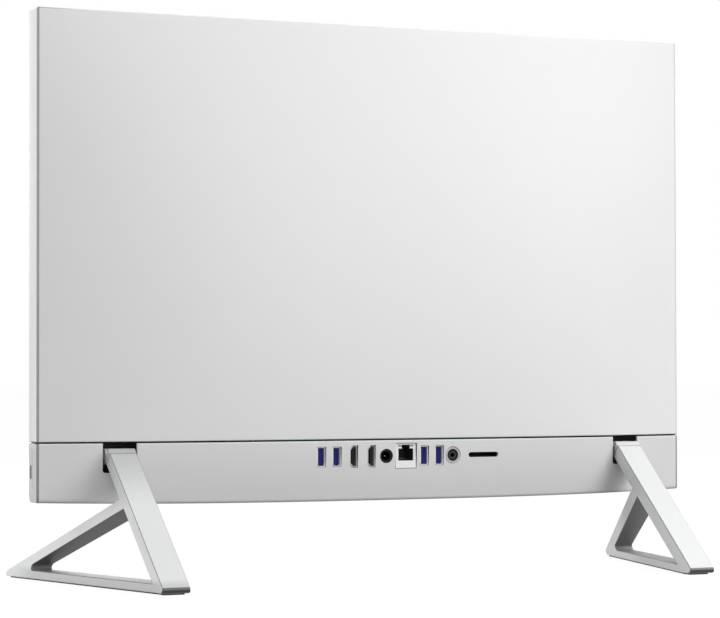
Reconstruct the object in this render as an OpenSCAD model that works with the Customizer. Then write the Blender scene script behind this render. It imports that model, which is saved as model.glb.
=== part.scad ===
// All-in-one desktop computer that stands on two splayed A-frame legs.
// Millimetres. +Z is up and the display looks along -Y, so the rear covers face +Y.
// X = 0 is the middle of the body, Z = 0 is the desk under the rubber pads, and
// Y = 0 is midway between the front tips and the heels of the legs.
// A depth called s is measured backwards from the front of the glass.

/* [Display body] */
// Width of the body across its frame
body_w = 540; // [520:1:580]
// Height of the body without its legs
body_h = 360.5; // [350:0.5:390]
// Height of the body's lower edge above the desk
ground_clear = 59; // [56:0.5:72]
// Depth of the body at its edge
edge_d = 20; // [19.5:0.5:24]
// How far the rear swells out behind the edge, in the middle
bulge = 27; // [26:0.5:32]
// How far the lower rear cover tucks forwards at its bottom edge
chin_tuck = 4; // [1:0.5:5]
// Height of the speaker bar and of the lower rear cover
chin_h = 43.5; // [41:0.5:48]
// How much lower the bottom edge is in the middle than at its ends
bottom_arch = 2.5; // [0.5:0.1:4]
// Width of the joint lines between the covers
seam_gap = 1.2; // [0.8:0.1:1.6]
// Wall of the moulded covers
cover_wall = 2; // [1.6:0.1:2.4]
// Wall of the frame and of the speaker bar's ends
frame_wall = 3.4; // [3:0.1:4]
// Radius of the body's corners
corner_r = 1.5; // [1.5:0.5:4]

/* [Display] */
// Thickness of the front glass
glass_t = 2; // [1.5:0.1:2.5]
// Thickness of the liquid crystal panel
panel_t = 3; // [2:0.1:3.5]
// Thickness of the backlight unit
backlight_t = 3.8; // [3:0.1:4.2]
// Thickness of the steel chassis plate
chassis_t = 1.2; // [0.8:0.1:1.6]

/* [Legs] */
// Distance of each leg's middle from the end of the body
leg_in = 58; // [50:1:70]
// Width of a rear leg
leg_w = 20.6; // [19:0.2:22]
// Thickness of a rear leg
leg_t = 11; // [9:0.5:12]
// Lean of a rear leg from the vertical, in degrees
leg_lean = 50; // [46:0.5:54]
// Distance of a rear leg's outer face from the hinge axis
leg_off = 11.9; // [11.5:0.1:12.5]
// Reach of the front tips ahead of the body's rear edge
foot_front = 84.5; // [76:0.5:95]
// How far the front tips stand outside the rear legs
splay = 47.3; // [30:0.1:50]
// Width of a foot at its front tip
tip_w = 15.2; // [12:0.2:18]
// Thickness of a strut where it meets the rear leg
strut_t = 9.2; // [6:0.2:10]
// Slope of a strut's upper side, in degrees
strut_slope = 24.4; // [22:0.1:27]
// Thickness of a base bar
base_t = 5.9; // [5:0.1:8]
// Radius of the heel
heel_r = 2.4; // [1.5:0.1:4]
// Radius of the front tip
nose_r = 2.4; // [1.5:0.1:3]
// Length of solid metal between the front tip and the strut's lower side
nose_l = 8.5; // [0:0.5:14]
// Radius of the window's front corner
window_r = 2.4; // [1:0.1:4]
// Thickness of the rubber pads
pad_t = 1.2; // [0.8:0.1:2]

/* [Hinges] */
// Distance of the hinge axis behind the body's rear edge
hinge_back = 6; // [5.5:0.1:6.5]
// Distance of the hinge axis below the seam
hinge_drop = 10.4; // [10:0.1:11]
// Diameter of a hinge pin
pin_d = 5; // [4:0.1:6]
// Radius of a hinge barrel and of the bracket cheeks
barrel_r = 6; // [5.2:0.1:6.2]
// Width of a hinge barrel
barrel_w = 14; // [12:0.2:14.4]
// Thickness of a bracket cheek
cheek_t = 2.5; // [1.8:0.1:2.6]
// Thickness of a friction washer
washer_t = 0.5; // [0.3:0.1:0.6]
// Running clearance around a hinge pin
running_gap = 0.05; // [0.03:0.01:0.1]
// Width of a leg slot in the lower rear cover
slot_w = 25; // [23.6:0.2:26]
// Height of a leg slot
slot_h = 22; // [21:0.5:25]

/* [Ports] */
// Distance of the port row below the seam
port_drop = 12.5; // [12:0.1:14]
// Distance of the row's first port from the middle of the body
row_start = 60.5; // [50:0.5:70]
// Width of a USB opening
usb_w = 7.3; // [7:0.1:8]
// Height of a USB opening
usb_h = 15.2; // [14.6:0.1:16]
// Width of an HDMI opening
hdmi_w = 6.6; // [6.2:0.1:7.4]
// Height of an HDMI opening
hdmi_h = 16.8; // [16:0.1:18]
// Diameter of the power inlet's opening
power_d = 10.8; // [10.4:0.1:12]
// Bore of the power inlet
power_bore = 7.4; // [6.5:0.1:7.6]
// Width of the network opening
net_w = 17.7; // [17.2:0.1:18.4]
// Height of the network opening
net_h = 19.4; // [18.8:0.1:20]
// Diameter of the audio socket's opening
audio_d = 13; // [12:0.1:13.6]
// Bore of the audio socket
audio_bore = 3.6; // [3.5:0.05:3.8]
// Width of the card slot in the cover
card_w = 26; // [25.6:0.1:27]
// Height of the card slot in the cover
card_h = 3.8; // [3.4:0.1:4.4]
// Clearance of a socket in its opening, on each side
port_fit = 0.4; // [0.3:0.05:0.5]

/* [Webcam and button] */
// Width of the webcam body
cam_w = 64; // [50:1:80]
// Height of the webcam body
cam_h = 50; // [44:1:56]
// Diameter of the webcam's lens
lens_d = 8; // [6:0.5:9]
// Sliding clearance of the webcam and of the button, on each side
slide_gap = 0.3; // [0.2:0.05:0.4]
// Length of the power button
button_l = 9; // [7:0.5:11]
// Width of the power button
button_w = 3.2; // [2.6:0.1:3.6]

/* [Electronics] */
// Width of the motherboard
board_w = 250; // [236:1:270]
// Height of the motherboard
board_h = 132; // [130:1:140]
// Thickness of the circuit boards
board_t = 1.6; // [1:0.1:2]
// Length of the standoffs behind the chassis plate
standoff_l = 12; // [11:0.5:13]
// Side of the fan housing
fan_side = 72; // [66:1:76]
// Thickness of the fan housing
fan_t = 11; // [9:0.5:11.5]
// Number of fan blades
fan_blades = 13; // [7:2:17]
// Diameter of the heat pipe
pipe_d = 5; // [4:0.5:5.5]
// Thickness of the hard drive
drive_t = 7; // [5:0.5:9]

/* [Hidden] */
$fn = 48;
grid_x = 32;
grid_z = 14;
chin_rows = 5;
arc_steps = 16;

// Power of the plan curve: 2 is a plain parabola, higher is flatter in the middle
swell_power = 3.4;
arch_power = 2.5;
// Rim of the covers and the groove in front of it
rim_t = 0.8;
rim_inset = 0.6;
rim_flat = 4;
rim_fade = 8;
groove_d = 2.8;
lip_w = 1.2;
chin_round = 2.5;
bottom_reach = 2.6;
eps = 0.01;

half_w = body_w / 2;
leg_x = half_w - leg_in;
cover_hx = half_w - rim_inset;
body_bottom = ground_clear;
body_top = body_bottom + body_h;
seam_z = body_bottom + chin_h;
cover_top = body_top - rim_inset;

// Lean of the leg as unit vectors in the YZ plane: down the leg, and out of its rear face
leg_dir = [sin(leg_lean), -cos(leg_lean)];
leg_nrm = [cos(leg_lean), sin(leg_lean)];
hinge_z = seam_z - hinge_drop;
heel_half = (90 - leg_lean) / 2;
heel_u = (hinge_z + leg_off * leg_nrm[1] - pad_t) / cos(leg_lean);
heel_back = hinge_back + leg_off * leg_nrm[0] + heel_u * leg_dir[0];
heel_mid = heel_back - heel_r / tan(heel_half);
foot_rear = heel_mid + heel_r;

// Rear edge of the frame, placed so that the legs reach as far forwards as backwards
y_edge = (foot_front - foot_rear) / 2;
y_front = y_edge - edge_d;
hinge = [y_edge + hinge_back, hinge_z];
hinge_s = edge_d + hinge_back;

// Depths of the layers behind the glass
panel_s = glass_t;
backlight_s = panel_s + panel_t;
shelf_s = backlight_s + backlight_t;
shelf_t = 1.2;
chassis_s = shelf_s + shelf_t;
chassis_back = chassis_s + chassis_t;
board_s = chassis_back + standoff_l;
board_back = board_s + board_t;
inner_w = half_w - frame_wall;
lip_s = edge_d - groove_d;
tongue_s = edge_d - rim_t;
front_wall = 2.5;
shelf_w = 12;
rail_h = 3.6;

// Ports: widths in the order of the row, the bare stretch before each, and their middles
port_z = seam_z - port_drop;
PORT_W = [usb_w, usb_w, hdmi_w, hdmi_w, power_d, net_w, usb_w, usb_w, audio_d, card_w];
PORT_GAP = [0, 5.3, 7, 8, 3.7, 2.4, 3, 5.3, 1.5, 7];
function row_used(k) = k < 0 ? 0 : PORT_W[k] + PORT_GAP[k] + row_used(k - 1);
function port_x(k) = row_start - row_used(k - 1) - PORT_GAP[k] - PORT_W[k] / 2;
USB = [0, 1, 6, 7];
HDMI = [2, 3];
POWER = 4;
NETWORK = 5;
AUDIO = 8;
CARD = 9;
row_end = port_x(CARD) - card_w / 2;
shell_wall = 0.5;
socket_back = 6;
socket_recess = 0.8;
bracket_s = board_back + 17;
bracket_t = 1;
reader_l = bracket_s + bracket_t + 0.4 - board_back;
reader_rim = 2;

board_z0 = body_bottom + 8;
board_z1 = board_z0 + board_h;
board_x0 = -board_w / 2;
standoff_d = 6;
screw_d = 3;
screw_head = 5.6;
screw_head_t = 1.8;
standoff_in = 8;
STANDOFFS = [for (x = [-1, 0, 1], z = [board_z0 + 5, board_z1 - standoff_in])
    [x * (board_w / 2 - standoff_in) + (x == 0 ? 75 : 0), z]];

// Cooling: the processor, the pipe and the fins share one upright line
pipe_x = 47;
cpu_w = 34;
cpu_t = 2.2;
cpu_z = board_z0 + 82;
plate_w = 42;
plate_t = 2;
pipe_s = board_back + cpu_t + plate_t;
fan_gap = 6;
fan_z0 = board_z1 + fan_gap;
fan_x1 = pipe_x - 10;
fan_x0 = fan_x1 - fan_side;
fan_mid = [(fan_x0 + fan_x1) / 2, fan_z0 + fan_side / 2];
fan_back = pipe_s;
fan_front = fan_back - fan_t;
fan_wall = 1.4;
rotor_d = fan_side - 12;
inlet_d = rotor_d - 14;
hub_d = 26;
shaft_d = 3;
fin_w = 20;
fin_t = 0.6;
fin_pitch = 3;
post_d = 7;

// Webcam: a flat body that slides up out of the frame's top wall
cam_s = chassis_back + slide_gap;
cam_t = 6.4;
cam_drop = 0.2;
cam_top = body_top - cam_drop;
rail_w = 5;
lens_t = 1.4;
lens_drop = 10;

// Power button in the right-hand end of the speaker bar
button_z = body_bottom + 22;
button_s = front_wall + 0.1 + slide_gap + button_w / 2;
button_recess = 0.3;
button_flange = 2;
flange_t = 1.4;
switch_gap = 1.1;

// Points of a circular arc in a plane
function arc(c, r, a0, a1) =
    [for (i = [0 : arc_steps]) let (a = a0 + (a1 - a0) * i / arc_steps) c + r * [cos(a), sin(a)]];

// Share of the full swell at a distance x from the middle, and at a height z
function plan_swell(x) = 1 - pow(abs(x) / cover_hx, swell_power);
function rise(z) = z >= seam_z
    ? sin(90 * (body_top - z) / (body_top - seam_z))
    : 1 - pow((seam_z - z) / chin_h, 2) * chin_tuck / bulge;
function rear_y(x, z) = y_edge + bulge * plan_swell(x) * rise(z);

// Height of the bottom edge, and the wall of a cover at a distance from its rim
function bottom_z(x) = body_bottom - bottom_arch * (1 - pow(abs(x) / cover_hx, arch_power));
function wall_at(d) = rim_t + (cover_wall - rim_t) * min(1, max(0, (d - rim_flat) / rim_fade));

// A box between two widths, two depths behind the glass and two heights
module slab(x0, x1, s0, s1, z0, z1) {
    translate([x0, y_front + s0, z0]) cube([x1 - x0, s1 - s0, z1 - z0]);
}

// A round bar along the depth
module rod_y(x, z, s0, s1, d) {
    translate([x, y_front + s0, z]) rotate([-90, 0, 0]) cylinder(d = d, h = s1 - s0);
}

// A round bar along the hinge axis, between two distances from a leg's middle
module rod_x(x0, x1, d) {
    translate([leg_x + x0, hinge[0], hinge[1]]) rotate([0, 90, 0]) cylinder(d = d, h = x1 - x0);
}

// A flat outline in the YZ plane, carried along X
module extrude_x(x0, x1) {
    translate([x0, 0, 0]) rotate([90, 0, 90]) linear_extrude(x1 - x0) children();
}

// A flat outline in the XZ plane, carried along the depth
module extrude_y(s0, s1) {
    translate([0, y_front + s1, 0]) rotate([90, 0, 0]) linear_extrude(s1 - s0) children();
}

// A rectangle with round corners
module round_rect(x0, x1, z0, z1, r) {
    translate([x0 + r, z0]) square([x1 - x0 - 2 * r, z1 - z0]);
    translate([x0, z0 + r]) square([x1 - x0, z1 - z0 - 2 * r]);
    for (x = [x0 + r, x1 - r], z = [z0 + r, z1 - r]) translate([x, z]) circle(r);
}

// A closed skin from an outer and an inner grid of points, both with rows of equal length
module skin(outer, inner) {
    rows = len(outer);
    cols = len(outer[0]);
    half = rows * cols;
    points = [for (g = [outer, inner], row = g, p = row) p];
    function id(g, i, j) = g * half + i * cols + j;
    function quad(a, b, c, d) = [[a, b, c], [a, c, d]];
    faces = [
        for (i = [0 : rows - 2], j = [0 : cols - 2], f = quad(
            id(0, i, j), id(0, i, j + 1), id(0, i + 1, j + 1), id(0, i + 1, j))) f,
        for (i = [0 : rows - 2], j = [0 : cols - 2], f = quad(
            id(1, i, j), id(1, i + 1, j), id(1, i + 1, j + 1), id(1, i, j + 1))) f,
        for (j = [0 : cols - 2], f = quad(id(1, 0, j), id(1, 0, j + 1), id(0, 0, j + 1), id(0, 0, j))) f,
        for (j = [0 : cols - 2], f = quad(
            id(0, rows - 1, j), id(0, rows - 1, j + 1), id(1, rows - 1, j + 1), id(1, rows - 1, j))) f,
        for (i = [0 : rows - 2], f = quad(id(0, i, 0), id(0, i + 1, 0), id(1, i + 1, 0), id(1, i, 0))) f,
        for (i = [0 : rows - 2], f = quad(
            id(1, i, cols - 1), id(1, i + 1, cols - 1), id(0, i + 1, cols - 1), id(0, i, cols - 1))) f
    ];
    polyhedron(points, faces, convexity = 4);
}

// Positions across the body, from one rim of the covers to the other
GRID_X = [for (i = [0 : grid_x]) cover_hx * (2 * i / grid_x - 1)];

// Upper rear shell: a dome whose side and top rims are straight
module back_cover() {
    z0 = seam_z + seam_gap / 2;
    heights = [for (j = [0 : grid_z]) z0 + (cover_top - z0) * j / grid_z];
    outer = [for (x = GRID_X) [for (z = heights) [x, rear_y(x, z), z]]];
    inner = [for (x = GRID_X) [for (z = heights)
        [x, rear_y(x, z) - wall_at(min(cover_hx - abs(x), cover_top - z)), z]]];
    color("whitesmoke") skin(outer, inner);
}

// Outline of the lower cover at a distance x: down the rear, round the corner, forwards below
function chin_path(x, r, wall) =
    let (low = bottom_z(x), z0 = seam_z - seam_gap / 2, z1 = low + chin_round, y1 = rear_y(x, z1))
    concat(
        [for (k = [0 : chin_rows]) let (z = z0 + (z1 - z0) * k / chin_rows) [x, rear_y(x, z) - wall, z]],
        [[x, y1 - max(wall, chin_round - r * cos(45)), z1 - r * sin(45)]],
        [[x, y1 - chin_round, low + chin_round - r]],
        [[x, y_edge - bottom_reach, low + chin_round - r]]);

// An upright rectangle with round corners around a port of the row
module port_rect(k, w, h, r) {
    round_rect(port_x(k) - w / 2, port_x(k) + w / 2, port_z - h / 2, port_z + h / 2, r);
}

// Outline of an HDMI port, with two corners cut off, drawn in by a margin
module hdmi_outline(k, margin) {
    w = hdmi_w / 2 - margin;
    h = hdmi_h / 2 - margin;
    cut_x = 2.2;
    cut_z = 2.6;
    translate([port_x(k), port_z]) polygon([
        [-w, -h], [w - cut_x, -h], [w, -h + cut_z], [w, h - cut_z], [w - cut_x, h], [-w, h]]);
}

// Openings of the port row, as flat outlines
module port_outlines() {
    for (k = USB) port_rect(k, usb_w, usb_h, 0.6);
    for (k = HDMI) hdmi_outline(k, 0);
    translate([port_x(POWER), port_z]) circle(d = power_d);
    port_rect(NETWORK, net_w, net_h, 0.6);
    translate([port_x(AUDIO), port_z]) circle(d = audio_d);
}

// Lower rear shell with the port openings and the two leg slots
module io_cover() {
    outer = [for (x = GRID_X) chin_path(x, chin_round, 0)];
    inner = [for (x = GRID_X) chin_path(x, chin_round - cover_wall, wall_at(cover_hx - abs(x)))];
    color("whitesmoke") difference() {
        skin(inner, outer);
        extrude_y(edge_d, edge_d + bulge + 5) {
            port_outlines();
            port_rect(CARD, card_w, card_h, card_h / 2 - 0.1);
            for (m = [-1, 1]) round_rect(
                m * leg_x - slot_w / 2, m * leg_x + slot_w / 2, seam_z - slot_h, seam_z + slot_h, 2);
        }
    }
}

// Section of the frame's wall: the outer lip, then the tongue that carries the cover's rim.
// Its upper corners are round, and it is cut off square at the lower end
module wall_ring(z0, z1, r) {
    extrude_y(0, lip_s) difference() {
        round_rect(-half_w, half_w, z0 - 3 * r, z1, r);
        translate([-body_w, z0 - body_w]) square([2 * body_w, body_w]);
        children();
    }
    extrude_y(lip_s, tongue_s) difference() {
        round_rect(-half_w + lip_w, half_w - lip_w, z0 - 3 * r, z1 - lip_w, r - 1);
        translate([-body_w, z0 - body_w]) square([2 * body_w, body_w]);
        children();
    }
}

// Frame around the display, with the shelf that carries the chassis plate, and with a bead in the seam
// and a skirt behind it
module mid_frame() {
    z0 = seam_z + seam_gap / 2;
    z1 = body_top - frame_wall;
    slots = 11;
    pitch = 11;
    slot_l = 7;
    skirt = 2.6;
    skirt_t = 1.2;
    skirt_fit = 0.4;
    bead = seam_gap - 0.3;
    color("white") difference() {
        union() {
            wall_ring(z0, body_top, corner_r)
                translate([-inner_w, z0 - eps]) square([2 * inner_w, z1 - z0 + eps]);
            slab(-inner_w, inner_w, 0, shelf_s, z0, z0 + rail_h);
            slab(-inner_w + skirt_fit, inner_w - skirt_fit, front_wall + 1, shelf_s, z0 - skirt, z0 + 1);
            for (x = [-inner_w + skirt_fit, inner_w - skirt_fit - skirt_t])
                slab(x, x + skirt_t, front_wall + 1, tongue_s, z0 - skirt, z0 + 3);
            slab(-half_w + lip_w, half_w - lip_w, lip_w, shelf_s, z0 - bead, z0 + 1);
            for (x = [-half_w + lip_w, inner_w - 1])
                slab(x, x + frame_wall - lip_w + 1, lip_w, tongue_s, z0 - bead, z0 + 1);
            extrude_y(shelf_s, chassis_s) difference() {
                translate([-inner_w, z0]) square([2 * inner_w, z1 - z0]);
                translate([-inner_w + shelf_w, z0 + shelf_w])
                    square([2 * (inner_w - shelf_w), z1 - z0 - 2 * shelf_w]);
            }
        }
        slab(-cam_w / 2 - slide_gap, cam_w / 2 + slide_gap, chassis_back, cam_s + cam_t + slide_gap,
            z1 - 1, body_top + 1);
        for (m = [-1, 1], k = [0 : slots - 1]) slab(
            m * half_w / 2 + (k - slots / 2) * pitch, m * half_w / 2 + (k - slots / 2) * pitch + slot_l,
            chassis_back + 1, lip_s - 2, z1 - 1, body_top + 1);
    }
}

// Bar below the display: front wall, ends and floor, with sound holes and with air slots below
module speaker_bar() {
    z1 = seam_z - seam_gap / 2;
    z_in = body_bottom + front_wall;
    nose = 5;
    hole_d = 1.2;
    pitch = 2.06;
    rows = 14;
    hole_s = button_s + button_w / 2 + slide_gap + hole_d / 2 + 0.8;
    floor_s = edge_d - bottom_reach - 0.6;
    vent_n = 16;
    vent_pitch = 12;
    vent_w = 4;
    edge = concat([[y_front, z1]], arc([y_front + nose, body_bottom + nose], nose, 180, 270));
    color("white") difference() {
        union() {
            extrude_x(-inner_w, inner_w) polygon(concat(edge, [
                [y_front + floor_s, body_bottom], [y_front + floor_s, z_in], [y_front + nose, z_in],
                [y_front + front_wall, body_bottom + nose], [y_front + front_wall, z1]]));
            for (x = [-half_w, inner_w]) extrude_x(x, x + frame_wall)
                polygon(concat(edge, [[y_front + lip_s, body_bottom], [y_front + lip_s, z1]]));
            for (x = [-half_w + lip_w, inner_w]) slab(
                x, x + frame_wall - lip_w, lip_s - 1, tongue_s, z_in + 1, z1);
            for (m = [-1, 1]) rod_y(m * boss_x, seam_z - chin_h / 2, front_wall - 1, chassis_s, 8);
        }
        for (m = [-1, 1], k = [0 : rows - 1])
            translate([m * half_w, y_front + hole_s, seam_z - 6 - k * pitch])
            rotate([0, 90, 0]) cylinder(d = hole_d, h = 3, center = true);
        extrude_y(-1, front_wall + 1) for (m = [-1, 1], i = [0 : 5], k = [0 : 4])
            translate([m * (boss_x + 40 + i * 9), seam_z - chin_h / 2 + (k - 2) * 5])
            circle(d = hole_d * 1.6);
        for (k = [0 : vent_n - 1]) slab(
            (k - (vent_n - 1) / 2) * vent_pitch - vent_w / 2,
            (k - (vent_n - 1) / 2) * vent_pitch + vent_w / 2,
            nose + 1, floor_s - 2.5, body_bottom - 1, z_in + 1);
        slab(inner_w - 1, half_w + 1,
            button_s - button_w / 2 - slide_gap, button_s + button_w / 2 + slide_gap,
            button_z - button_l / 2 - slide_gap, button_z + button_l / 2 + slide_gap);
    }
}

module display_glass() {
    fit = 0.2;
    color([0.03, 0.03, 0.035]) slab(
        -inner_w + fit, inner_w - fit, 0, glass_t,
        seam_z + seam_gap / 2 + rail_h + fit, body_top - frame_wall - fit);
}

module lcd_panel() {
    margin = 2;
    color("dimgray") slab(
        -inner_w + margin, inner_w - margin, panel_s, panel_s + panel_t,
        seam_z + seam_gap / 2 + rail_h + margin, body_top - frame_wall - margin);
}

module backlight_unit() {
    margin = 1;
    color("silver") slab(
        -inner_w + margin, inner_w - margin, backlight_s, backlight_s + backlight_t,
        seam_z + seam_gap / 2 + rail_h + margin, body_top - frame_wall - margin);
}

// Steel plate that carries the hinges and all the electronics
module chassis_plate() {
    margin = 4;
    color("lightgray") extrude_y(chassis_s, chassis_back)
        round_rect(-inner_w + margin, inner_w - margin, body_bottom + 6, body_top - frame_wall - margin, 5);
}

module chassis_screws() {
    inset = 9;
    rows = 3;
    pitch = (body_top - seam_z) / (rows + 1);
    color("silver") for (m = [-1, 1], k = [1 : rows])
        rod_y(m * (inner_w - inset), seam_z + k * pitch,
            chassis_back, chassis_back + screw_head_t, screw_head);
}

// Rear leg, front strut and base bar of one foot, in one casting: a plate with a three-sided window,
// as wide as the rear leg along it and drawn outwards from there to the front tip
module leg_body() {
    n0 = leg_off - leg_t;
    crease = n0 + 0.3;
    joint_u = 10.3;
    y_tip = y_edge - foot_front;
    nose = [y_tip + nose_r, pad_t + nose_r];
    heel = [y_edge + heel_mid, pad_t + heel_r];
    strut_dir = [cos(strut_slope), sin(strut_slope)];
    crown = nose + nose_r * [-sin(strut_slope), cos(strut_slope)];
    function leg_pt(u, n) = hinge + u * leg_dir + n * leg_nrm;
    function leg_n(p) = (p - hinge) * leg_nrm;
    function to_leg(p, d) = p + d * ((n0 - leg_n(p)) / (d * leg_nrm));
    root = to_leg(crown, strut_dir);
    under = [nose[0] + nose_l, pad_t];
    under_dir = root - [0, strut_t / cos(strut_slope)] - under;
    under_slope = atan2(under_dir[1], under_dir[0]);
    corner = under + under_dir * (base_t / under_dir[1]);
    fillet = corner + window_r * [1 / tan(under_slope / 2), 1];
    low_u = (hinge_z + n0 * leg_nrm[1] - pad_t - base_t) / cos(leg_lean);
    n_tip = leg_n([y_tip, nose[1]]);
    far = 1.2;
    intersection() {
        extrude_x(0, body_w) difference() {
            polygon(concat(
                [leg_pt(joint_u, leg_off), leg_pt(joint_u, n0), root],
                arc(nose, nose_r, 90 + strut_slope, 270),
                arc(heel, heel_r, -90, leg_lean)));
            polygon(concat(
                [to_leg(under, under_dir), leg_pt(low_u, n0)],
                arc(fillet, window_r, 270, 90 + under_slope)));
        }
        translate([0, hinge[0], hinge[1]]) rotate([leg_lean, 0, 0]) translate([0, 0, -body_h])
            linear_extrude(2 * body_h) polygon([
                [leg_x - leg_w / 2, leg_t + leg_off], [leg_x - leg_w / 2, crease],
                [leg_x - leg_w / 2 + far * (splay + (leg_w - tip_w) / 2), crease + far * (n_tip - crease)],
                [leg_x + leg_w / 2 + far * (splay - (leg_w - tip_w) / 2), crease + far * (n_tip - crease)],
                [leg_x + leg_w / 2, crease], [leg_x + leg_w / 2, leg_t + leg_off]]);
    }
}

// Plan of a foot's sole, drawn in from its sides, its front tip and its heel
module foot_plan(side, front, rear) {
    y_tip = y_edge - foot_front;
    y_bar = y_edge + heel_back - leg_t / leg_nrm[0];
    k = 1 - front / (y_bar - y_tip);
    tip_x = leg_x + k * splay;
    tip_half = leg_w / 2 + k * (tip_w - leg_w) / 2 - side;
    rear_half = leg_w / 2 - side;
    polygon([
        [tip_x - tip_half, y_tip + front], [tip_x + tip_half, y_tip + front],
        [leg_x + rear_half, y_bar], [leg_x + rear_half, y_edge + heel_mid - rear],
        [leg_x - rear_half, y_edge + heel_mid - rear], [leg_x - rear_half, y_bar]]);
}

module right_leg() {
    color("gainsboro") leg_body();
}

module left_leg() {
    color("gainsboro") mirror([1, 0, 0]) leg_body();
}

module pad_body() {
    linear_extrude(pad_t) foot_plan(2.2, 2.6, 3);
}

module right_foot_pad() {
    color("dimgray") pad_body();
}

module left_foot_pad() {
    color("dimgray") mirror([1, 0, 0]) pad_body();
}

// Knuckle at the top of a leg: the visible cap and the barrel that turns on the pin
module arm_body() {
    joint_u = 10.3;
    cap_u = 4.45;
    cheek_gap = 0.6;
    cheek_x = barrel_w / 2;
    difference() {
        union() {
            translate([leg_x - leg_w / 2, hinge[0], hinge[1]]) rotate([leg_lean - 90, 0, 0])
                translate([0, cap_u, leg_off - leg_t]) cube([leg_w, joint_u - cap_u, leg_t]);
            rod_x(-cheek_x, cheek_x, 2 * barrel_r);
        }
        for (m = [0, 1]) rod_x(
            m == 0 ? -leg_w : cheek_x, m == 0 ? -cheek_x : leg_w, 2 * (barrel_r + cheek_gap));
        rod_x(-leg_w, leg_w, pin_d + 2 * running_gap);
    }
}

module right_hinge_arm() {
    color("gainsboro") arm_body();
}

module left_hinge_arm() {
    color("gainsboro") mirror([1, 0, 0]) arm_body();
}

// Distances of a bracket's cheeks from the leg's middle
washer_gap = 0.05;
cheek_in = barrel_w / 2 + washer_t + 2 * washer_gap;
cheek_out = cheek_in + cheek_t;
pin_seat = 0.02;

module pin_body() {
    head_t = 0.8;
    rod_x(-cheek_out, cheek_out, pin_d);
    rod_x(cheek_out, cheek_out + head_t, pin_d + 2);
}

module right_hinge_pin() {
    color("silver") pin_body();
}

module left_hinge_pin() {
    color("silver") mirror([1, 0, 0]) pin_body();
}

// Steel fork on the chassis plate that holds a hinge pin
module bracket_body() {
    base_t = 2;
    base_w = 36;
    base_h = 30;
    difference() {
        union() {
            slab(leg_x - base_w / 2, leg_x + base_w / 2, chassis_back, chassis_back + base_t,
                hinge_z - base_h / 2, hinge_z + base_h / 2);
            for (x = [-cheek_out, cheek_in]) {
                slab(leg_x + x, leg_x + x + cheek_t, chassis_back + base_t - eps, hinge_s,
                    hinge_z - barrel_r, hinge_z + barrel_r);
                rod_x(x, x + cheek_t, 2 * barrel_r);
            }
        }
        rod_x(-leg_w, leg_w, pin_d + 2 * pin_seat);
    }
}

module right_hinge_bracket() {
    color("slategray") bracket_body();
}

module left_hinge_bracket() {
    color("slategray") mirror([1, 0, 0]) bracket_body();
}

module hinge_washers() {
    washer_d = 2 * barrel_r - 1;
    near = barrel_w / 2 + washer_gap;
    color("goldenrod") for (m = [0, 1], x = [-near - washer_t, near])
        mirror([m, 0, 0]) difference() {
            rod_x(x, x + washer_t, washer_d);
            rod_x(-leg_w, leg_w, pin_d + 2 * running_gap);
        }
}

module motherboard() {
    color("darkgreen") difference() {
        slab(board_x0, -board_x0, board_s, board_back, board_z0, board_z1);
        for (p = STANDOFFS) rod_y(p[0], p[1], board_s - 1, board_back + 1, screw_d + 0.4);
    }
}

module board_standoffs() {
    color("darkkhaki") for (p = STANDOFFS) rod_y(p[0], p[1], chassis_back, board_s, standoff_d);
}

module board_screws() {
    color("silver") for (p = STANDOFFS) union() {
        rod_y(p[0], p[1], board_s, board_back, screw_d);
        rod_y(p[0], p[1], board_back, board_back + screw_head_t, screw_head);
    }
}

// Plate around the sockets, with a foot on the board at each end
module port_bracket() {
    side = 3;
    z0 = port_z - net_h / 2 - 2;
    z1 = port_z + net_h / 2 + 1;
    color("lightsteelblue") difference() {
        slab(row_end - reader_rim - side, row_start + side, board_back, bracket_s + bracket_t, z0, z1);
        slab(row_end - reader_rim - side + bracket_t, row_start + side - bracket_t,
            board_back - 1, bracket_s, z0 - 1, z1 + 1);
        extrude_y(bracket_s - 1, bracket_s + bracket_t + 1) {
            port_outlines();
            port_rect(CARD, card_w + 2 * (reader_rim + port_fit), card_h + 2 * (reader_rim + port_fit), 0.5);
        }
    }
}

// Depth of the rear cover's outer face at a port
function face_s(k) = rear_y(port_x(k), port_z) - y_front;

// A socket's shell: closed at the board, open to the rear
module socket_shell(k, w, h) {
    extrude_y(board_back, face_s(k) - socket_recess) port_rect(k, w, h, 0.6);
}

module usb_shells() {
    w = usb_w - 2 * port_fit;
    h = usb_h - 2 * port_fit;
    color("silver") for (k = USB) difference() {
        socket_shell(k, w, h);
        extrude_y(board_back + socket_back, face_s(k) + 1)
            port_rect(k, w - 2 * shell_wall, h - 2 * shell_wall, 0.2);
    }
}

module usb_tongues() {
    tongue_t = 4;
    tongue_h = 12.4;
    shift = 0.3;
    color("darkblue") for (k = USB) slab(
        port_x(k) + shift - tongue_t / 2, port_x(k) + shift + tongue_t / 2,
        board_back + socket_back, face_s(k) - socket_recess - 1.4,
        port_z - tongue_h / 2, port_z + tongue_h / 2);
}

module hdmi_shells() {
    color("silver") for (k = HDMI) difference() {
        extrude_y(board_back, face_s(k) - socket_recess) hdmi_outline(k, port_fit);
        extrude_y(board_back + socket_back, face_s(k) + 1) hdmi_outline(k, port_fit + shell_wall);
    }
}

module hdmi_tongues() {
    tongue_t = 1.2;
    tongue_h = 11.6;
    color([0.08, 0.08, 0.09]) for (k = HDMI) slab(
        port_x(k) - tongue_t / 2, port_x(k) + tongue_t / 2,
        board_back + socket_back, face_s(k) - socket_recess - 1,
        port_z - tongue_h / 2, port_z + tongue_h / 2);
}

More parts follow.
